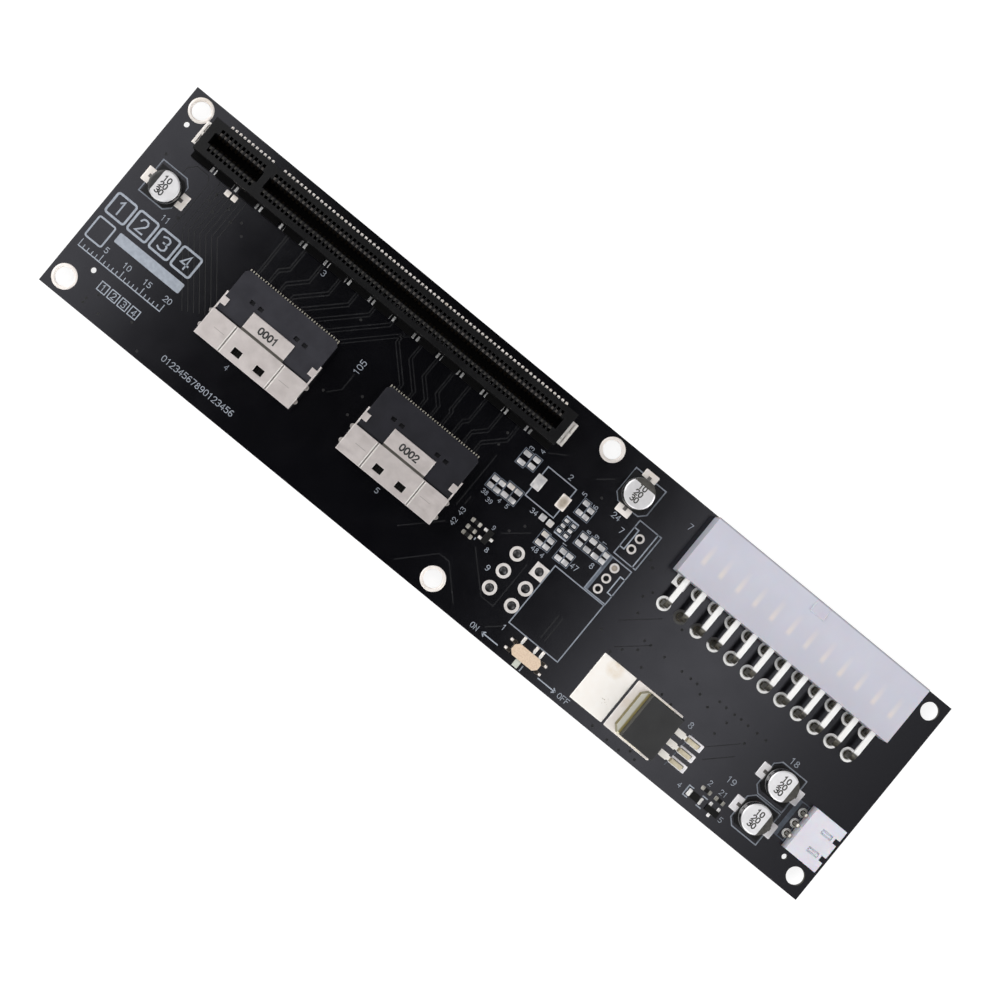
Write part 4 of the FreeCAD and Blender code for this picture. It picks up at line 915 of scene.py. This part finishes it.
# Worn print: a frame, two bars, a slanted line and a thin frame round each pair of small pads
PAIR_MARGIN = 0.22
PAIR_REACH = 3.6
SMALL_PAD = 1.1
faded = Sketch()
faded.ribbon(rectangle(176.75, 7.35, 179.2, 15.55), closed=True)
faded.field(rectangle(176.87, 7.47, 177.6, 15.43))
faded.field(rectangle(118.47, 20.86, 119.05, 28.68))
faded.ribbon([(152.6, 11.9), (152.1, 4.2)], 0.2)
for (low, high), (next_low, next_high) in zip(bare_pads, bare_pads[1:]):
    if abs(low.x - next_low.x) < 0.05 and high.y - low.y < SMALL_PAD and next_high.y - low.y < PAIR_REACH:
        faded.ribbon(rectangle(low.x - PAIR_MARGIN, low.y - PAIR_MARGIN, high.x + PAIR_MARGIN,
                               next_high.y + PAIR_MARGIN), 0.14, closed=True)

print_lines = Sketch()
strokes = [[(123.05, 29.6), (123.05, 37.57)],
           [(123.56, 22.8), (122.45, 22.8), (122.45, 26.75), (123.56, 26.75)],
           [(118.48, 31.35), (119.55, 31.35), (119.55, 35.9), (118.48, 35.9)],
           [(159.4, 2.0), (158.4, 2.0), (158.4, 4.2), (159.4, 4.2)], [(161.8, 2.0), (162.8, 2.0)],
           [(161.8, 4.2), (162.8, 4.2)], [(96.05, 14.5), (96.05, 14.8)], [(107.1, 29.3), (109.85, 29.3)],
           [(107.1, 25.35), (109.85, 25.35)], [(118.85, 0.45), (118.85, 1.45)]]
for path in strokes:
    print_lines.ribbon(path)

# Small running numbers beside the parts: x, y, height, turn and how many digits
number_places = [
    (10.5, 23.7, 1.35, 0, 2), (40.9, 35.0, 1.3, 0, 1), (38.0, 9.2, 1.25, 0, 1), (75.3, 9.3, 1.25, 0, 1),
    (58.7, 24.6, 1.45, 90, 3), (126.5, 42.2, 1.35, 0, 1), (150.9, 12.6, 1.5, 0, 1), (170.6, 19.8, 1.45, 0, 2),
    (163.3, 9.3, 1.45, 0, 2), (161.0, 6.5, 1.2, 0, 1), (163.8, 6.5, 1.2, 0, 2), (156.5, 2.5, 1.2, 0, 1),
    (167.0, 2.2, 1.2, 0, 1), (113.6, 34.7, 1.3, 0, 2), (116.6, 33.2, 1.3, 0, 1), (116.5, 24.3, 1.3, 0, 1),
    (101.2, 11.3, 1.3, 0, 1), (110.9, 4.4, 1.3, 0, 1), (102.6, 35.0, 1.2, 0, 1), (94.0, 34.75, 1.1, 90, 1),
    (96.0, 35.6, 1.1, 90, 1), (107.5, 34.4, 1.1, 90, 1), (110.7, 33.8, 1.1, 90, 1), (100.9, 25.4, 1.1, 0, 2),
    (112.7, 29.3, 1.0, 90, 1), (114.5, 29.6, 1.0, 90, 1), (116.4, 29.6, 1.0, 90, 1), (91.2, 22.4, 1.0, 0, 2),
    (92.9, 21.6, 1.0, 0, 2), (94.8, 22.9, 1.0, 0, 1), (96.6, 22.9, 1.0, 0, 1), (91.2, 13.9, 1.15, 90, 2),
    (91.2, 16.4, 1.15, 90, 2), (98.9, 13.9, 1.15, 0, 1), (97.3, 18.1, 1.0, 0, 1), (110.6, 24.5, 1.0, 90, 1),
    (113.6, 22.0, 1.2, 0, 2), (105.6, 19.9, 1.1, 0, 2), (107.8, 19.9, 1.1, 0, 1)]
NUMBER_SHARE = 0.86
for n, (x, y, height, turn, digits) in enumerate(number_places, 1):
    text = str(n % 9 + 1) if digits == 1 else str(10 ** (digits - 1) + n)
    print_lines.write(text, x, y, NUMBER_SHARE * height, turn, weight=0.11)
print_lines.write("01234567890123456", 27.7, 2.9, 1.2, weight=0.11)

# Switch legend: the two words, each with an arrow that points away from the switch
ARROW_Y = 1.55
for text, x, tail, head in (("ON", 105.9, 112.4, 108.6), ("OFF", 127.6, 122.6, 126.8)):
    print_lines.write(text, x, 1.0, 1.08, weight=0.12)
    print_lines.ribbon([(tail, ARROW_Y), (head, ARROW_Y)])
    barb = head + (0.55 if tail > head else -0.55)
    print_lines.ribbon([(barb, ARROW_Y + 0.45), (head, ARROW_Y), (barb, ARROW_Y - 0.45)])

# Generic marks at the left end: numbered inspection boxes, a write-on bar and a millimetre scale
SCALE_X = 1.6
SCALE_Y = 9.9
for n in range(4):
    x = 1.3 + 5.35 * n
    print_lines.ribbon(rounded(x, 18.2, x + 4.5, 22.7, 0.5), 0.45, closed=True)
    print_lines.write(str(n + 1), x + 1.35, 19.1, 2.7)
print_lines.field(rounded(6.4, 14.7, 22.2, 16.9, 0.3))
print_lines.ribbon(rounded(1.3, 12.2, 5.2, 16.9, 0.4), 0.35, closed=True)
print_lines.ribbon([(SCALE_X, SCALE_Y), (SCALE_X + 20, SCALE_Y)], 0.22)
for tick in range(21):
    x = SCALE_X + tick
    print_lines.ribbon([(x, SCALE_Y + 0.2), (x, SCALE_Y + (0.8 if tick % 5 else 1.5))], 0.16)
    if tick and tick % 5 == 0:
        print_lines.write(str(tick), x - 0.45 * len(str(tick)), 12.0, 1.1)
for n in range(4):
    x = 9.6 + 2.5 * n
    print_lines.ribbon(rectangle(x, 5.6, x + 1.9, 7.5), 0.2, closed=True)
    print_lines.write(str(n + 1), x + 0.6, 5.95, 1.2)
print_lines.piece("white_print", white_ink, "board_laminate")
faded.piece("faded_print", faded_ink, "board_laminate")

# Copper under the mask: buses, fan-outs and pours that show as faint raised or sunk lines
BUS_GAP = 0.14
POUR_GAP = 0.15
PAIR_HALF = 0.24
traces = Sketch()
gaps = Sketch()
for n in range(7):
    x = 15.0 + 1.05 * n
    bend = 26.4 + 0.45 * (n - 3)
    drop = bend - (4.6 + 0.62 * n)
    gaps.ribbon([(x, 36.4), (x, bend), (x + 0.6 * drop / 1.25, bend - 0.6 * drop)], BUS_GAP, high=TRACE_TOP)
gaps.ribbon([(8.3, 25.5), (8.3, 34.6), (9.6, 36.0), (12.3, 36.0), (13.4, 34.8), (13.4, 22.9)], BUS_GAP,
            high=TRACE_TOP)
for port, first, step in ((1, 31.5, 4.3), (2, 60.5, 4.05)):
    low, high, middle = node_box(f"port_{port}_contacts")
    for n in range(8):
        for side in (-PAIR_HALF, PAIR_HALF):
            start = middle.x - 9.45 + 2.7 * n + side
            end = first + step * n + side
            level = 30.6 + 0.25 * abs(n - 3.5) + (side if end < start else -side)
            half = abs(end - start) / 2
            traces.ribbon([(start, high.y + 0.1), (start, level - half), (end, level + half), (end, 36.6)],
                          high=TRACE_TOP)
single = [[(58.1, 24.2), (58.1, 20.6), (56.2, 18.4)], [(89.1, 29.6), (89.1, 17.6)],
          [(90.3, 20.4), (90.3, 18.6)], [(83.0, 7.2), (89.4, 13.6)],
          [(86.6, 1.8), (92.6, 8.1), (95.0, 8.1), (100.7, 2.4)],
          [(97.2, 13.4), (104.0, 6.8), (107.0, 6.8), (107.0, 17.0)], [(99.4, 18.7), (103.6, 22.2)],
          [(96.6, 36.4), (99.6, 38.3)], [(107.0, 38.4), (109.6, 40.6)], [(108.4, 2.8), (111.3, 5.4)],
          [(118.0, 8.0), (118.0, 13.4)], [(119.0, 8.0), (119.0, 13.4)]]
for path in single:
    traces.ribbon(path, high=TRACE_TOP)
pour_edges = [[(127.6, 20.2), (133.8, 25.6)], [(130.1, 15.6), (135.4, 20.2)], [(154.8, 10.6), (161.0, 16.6)],
              [(157.2, 9.6), (161.6, 13.9)]]
for path in pour_edges:
    gaps.ribbon(path, POUR_GAP, high=TRACE_TOP)
traces.piece("copper_traces", over_copper, "board_laminate")
gaps.piece("copper_gaps", over_gap, "board_laminate")

# Vias: tented holes that show as small dark dimples on both sides
VIA_HOLE = 0.1
VIA_RIM = 0.3
VIA_SUNK = 0.005
via_places = [
    (133.9, 20.2), (135.4, 20.3), (138.9, 20.2), (143.3, 20.2), (145.5, 20.2), (147.1, 20.2), (152.7, 20.3),
    (154.4, 20.2), (156.5, 20.2), (158.1, 20.3), (159.9, 20.2), (162.2, 20.2), (164.4, 20.2), (134.0, 18.0),
    (148.8, 19.0), (151.5, 18.0), (156.3, 18.0), (136.7, 15.8), (143.1, 14.3), (145.7, 13.9), (130.1, 14.3),
    (126.1, 16.6), (129.5, 23.5), (131.6, 16.1), (155.8, 14.9), (161.5, 17.1), (129.2, 28.4), (126.1, 32.0),
    (138.2, 26.4), (128.2, 26.6), (136.5, 1.1), (140.4, 0.8), (143.4, 0.7), (145.3, 1.95), (147.0, 1.2),
    (15.9, 34.2), (15.5, 32.4), (17.4, 31.1), (21.3, 31.7), (19.4, 33.4), (23.0, 33.0), (3.5, 34.0),
    (13.0, 26.0), (9.2, 3.0), (10.7, 5.0), (9.2, 2.0), (12.9, 2.1), (18.9, 4.9), (23.1, 1.3), (24.6, 31.0),
    (52.4, 33.2), (88.0, 31.6), (88.0, 34.4), (62.0, 22.0), (62.0, 17.5), (55.4, 18.2), (102.0, 22.6),
    (100.2, 20.0), (110.0, 36.2), (124.9, 33.0)]
vias = Sketch()
for x, y in via_places:
    for face, out in ((BOARD_TOP, 1), (0, -1)):
        vias.ring(x, y, VIA_HOLE, VIA_RIM, face - out * VIA_SUNK, face + out * (TRACE_TOP - BOARD_TOP), 14)
        vias.field(circle(x, y, VIA_HOLE + 0.02, 14), face - out * VIA_SUNK, face + out * 0.003)
vias.piece("tented_vias", over_gap, "board_laminate")

# Print on the capacitor tops: a dark segment on the marked side, rolled over the rim, and plain numbers
MARK_HALF = 57
MARK_LIFT = 0.025
MARK_SHARES = (0.0, 0.3, 0.5, 0.6, 0.68, 0.75, 0.81, 0.86, 0.9, 0.935, 0.965, 0.985, 1.0)
THIN_INK = 0.012
for n, side, ink in ((1, 180, dark_ink), (2, 90, grey_ink), (3, 0, grey_ink), (4, 0, grey_ink)):
    can = f"capacitor_{n}_can"
    can_print = Sketch()
    low, high, middle = node_box(can)
    x, y = middle.xy
    rim = (high.x - low.x) / 2
    chord = rim * math.cos(math.radians(MARK_HALF))
    rows = []
    for share in MARK_SHARES:
        row = []
        for px, py in arc(x, y, rim, side - MARK_HALF, side + MARK_HALF, 20):
            along = (px - x) * math.cos(math.radians(side)) + (py - y) * math.sin(math.radians(side))
            start = min(chord / along, 0.95)
            reach = start + (0.985 - start) * share
            place = (x + (px - x) * reach, y + (py - y) * reach)
            row.append((*place, top_of(can, *place) + MARK_LIFT))
        rows.append(row)
    can_print.loft(rows, closed=False)
    for line, text in enumerate(("30", "20", "10")):
        can_print.write(text, x - 0.95, y - 1.9 + 1.35 * line, 1.05, weight=0.24,
                        low=top_of(can, x, y), ink=THIN_INK)
    can_print.piece(f"can_print_{n}", ink, "can_aluminium")

# Each port's shell: plain numbers on its tab, painted shade in the two seams of the roof with painted
# highlights on the lips beside them, and a faint crease across each side panel
TAB_Y = 18.6
SEAM_AT = 5.73
SEAM_DEPTH = 0.2
LIP_OFF = 0.27
ROOF_DEPTH = 6.0
tab_print = Sketch()
seams = Sketch()
lips = Sketch()
creases = Sketch()
for port in (1, 2):
    shell = f"port_{port}_shell"
    low, high, middle = node_box(shell)
    tab_print.write(f"000{port}", middle.x - 2.1, TAB_Y, 1.3, weight=0.25,
                    low=top_of(shell, middle.x, TAB_Y + 0.5), ink=THIN_INK)
    floor_z = high.z - SEAM_DEPTH
    film = (high.z - 0.002, high.z + 0.006)
    far_y = low.y + ROOF_DEPTH
    crease_y = low.y + 0.52 * ROOF_DEPTH
    for side in (-1, 1):
        x = middle.x + side * SEAM_AT
        seams.ribbon([(x, low.y + 0.2), (x, far_y - 0.2)], 0.24, floor_z, floor_z + 0.03)
        for lip in (x - LIP_OFF, x + LIP_OFF):
            lips.ribbon([(lip, low.y + 0.25), (lip, far_y - 0.25)], 0.16, *film)
        creases.ribbon([(x + side * 1.0, crease_y), (x + side * 3.4, crease_y)], 0.1, *film)
tab_print.piece("tab_print", dark_ink, "port_shell_metal")
seams.piece("shell_seams", seam_shade, "port_shell_metal")
lips.piece("shell_lip_highlights", lip_highlight_nickel, "port_shell_metal")
creases.piece("shell_creases", grey_nickel, "port_shell_metal")

# Rib along each recess in the top of the side header
NOTCH_AT = 2.1
RECESS_END = 1.5
RECESS_LENGTH = 2.5
RECESS_DEPTH = 0.45
RIB_HALF = 0.24
ribs = Sketch()
low, high, middle = node_box("side_header_housing")
recess_x = high.x - RECESS_END
for y in (middle.y - NOTCH_AT, middle.y + NOTCH_AT):
    ribs.pillow(recess_x - RECESS_LENGTH + 0.1, y - RIB_HALF, recess_x - 0.05, y + RIB_HALF,
                high.z - RECESS_DEPTH, high.z - 0.04, 0.16, 0.12)
ribs.piece("header_ribs", pale_header, "pale_nylon", smooth=True)


def wire(tree, kind, *sources):
    """A new shader node whose first inputs come from the given sockets."""
    made = tree.nodes.new(kind)
    for source, socket in zip(sources, made.inputs):
        tree.links.new(source, socket)
    return made


# Stage: a pale floor under the pins, lifted to white for the camera and for reflections, with its shadow kept
FLOOR_HALF = 4
floor_z = cad_low.z - 0.0002
corners = rectangle(-FLOOR_HALF, -FLOOR_HALF, FLOOR_HALF, FLOOR_HALF)
floor_mesh = bpy.data.meshes.new("floor")
floor_mesh.from_pydata([(x, y, floor_z) for x, y in corners], [], [(0, 1, 2, 3)])
floor = bpy.data.objects.new("floor", floor_mesh)
bpy.context.scene.collection.objects.link(floor)
paper = bpy.data.materials.new("paper")
paper.use_nodes = True
tree = paper.node_tree
tree.nodes.remove(tree.nodes["Principled BSDF"])
rays = wire(tree, "ShaderNodeLightPath").outputs
seen = wire(tree, "ShaderNodeMath", rays["Is Camera Ray"], rays["Is Glossy Ray"])
seen.operation = "MAXIMUM"
lift = wire(tree, "ShaderNodeMath", seen.outputs[0])
lift.operation = "MULTIPLY"
lift.inputs[1].default_value = 0.85
glow = wire(tree, "ShaderNodeEmission")
tree.links.new(lift.outputs[0], glow.inputs["Strength"])
matt = wire(tree, "ShaderNodeBsdfDiffuse")
matt.inputs["Color"].default_value = (0.3, 0.3, 0.3, 1)
both = wire(tree, "ShaderNodeAddShader", matt.outputs[0], glow.outputs[0])
tree.links.new(both.outputs[0], tree.nodes["Material Output"].inputs["Surface"])
floor_mesh.materials.append(paper)

# World: a pale band round the horizon and a dim ceiling; white where the camera looks past the floor
world = bpy.data.worlds.new("studio")
bpy.context.scene.world = world
world.use_nodes = True
tree = world.node_tree
sky = tree.nodes["Background"]
height = wire(tree, "ShaderNodeSeparateXYZ", wire(tree, "ShaderNodeTexCoord").outputs["Generated"])
ramp = wire(tree, "ShaderNodeValToRGB", height.outputs["Z"])
band, ceiling = ramp.color_ramp.elements
band.position = 0.3
band.color = (0.4, 0.4, 0.41, 1)
ceiling.position = 0.62
ceiling.color = (0.02, 0.02, 0.022, 1)
tree.links.new(ramp.outputs[0], sky.inputs["Color"])
backdrop = wire(tree, "ShaderNodeBackground")
backdrop.inputs["Color"].default_value = (1, 1, 1, 1)
rays = wire(tree, "ShaderNodeLightPath").outputs
choose = wire(tree, "ShaderNodeMixShader", rays["Is Camera Ray"], sky.outputs[0], backdrop.outputs[0])
tree.links.new(choose.outputs[0], tree.nodes["World Output"].inputs["Surface"])


def softbox(name, place, aim, size, radiance):
    """A rectangular lamp of even brightness; radiance 1 is as bright as white paper."""
    lamp = bpy.data.lights.new(name, "AREA")
    lamp.shape = "RECTANGLE"
    lamp.size, lamp.size_y = size
    lamp.energy = radiance * math.pi * size[0] * size[1]
    made = bpy.data.objects.new(name, lamp)
    made.location = place
    made.rotation_euler = (Vector(aim) - Vector(place)).to_track_quat("-Z", "Y").to_euler()
    made.visible_camera = False
    bpy.context.scene.collection.objects.link(made)


# Boxes overhead give the mask its grey sheen towards both ends; low ones on three sides give most light
softbox("overhead_left", (-0.308, 0.02, 0.70), (-0.308, 0.02, 0), (0.35, 0.5), 1.7)
softbox("overhead_right", (0.131, 0.02, 0.70), (0.131, 0.02, 0), (0.073, 0.5), 1.9)
softbox("overhead_far_right", (0.203, 0.02, 0.70), (0.203, 0.02, 0), (0.071, 0.5), 0.6)
softbox("side_left", (-0.80, 0.12, 0.55), (0, 0, 0), (0.9, 0.6), 3.9)
softbox("side_right", (0.85, 0.05, 0.55), (0, 0, 0), (0.9, 0.6), 3.6)
softbox("near_fill", (0.1, -0.75, 0.55), (0, 0, 0), (0.9, 0.4), 3.0)

# Camera where the photograph was taken from
camera = bpy.data.cameras.new("camera")
camera.lens = 127.259
camera.sensor_width = 36.0
camera.clip_start = 0.01
view = bpy.data.objects.new("camera", camera)
right = Vector((0.771665, 0.634440, 0.044927))
up = Vector((-0.634677, 0.772704, -0.010597))
back = Vector((-0.0414389, -0.0203368, 0.9989340))
turned = Matrix((right, up, back)).transposed().to_4x4()
view.matrix_world = Matrix.Translation((-0.027388, -0.014293, 0.6816)) @ turned
bpy.context.scene.collection.objects.link(view)
bpy.context.scene.camera = view
bpy.context.scene.view_settings.view_transform = "Standard"

bpy.context.view_layer.update()
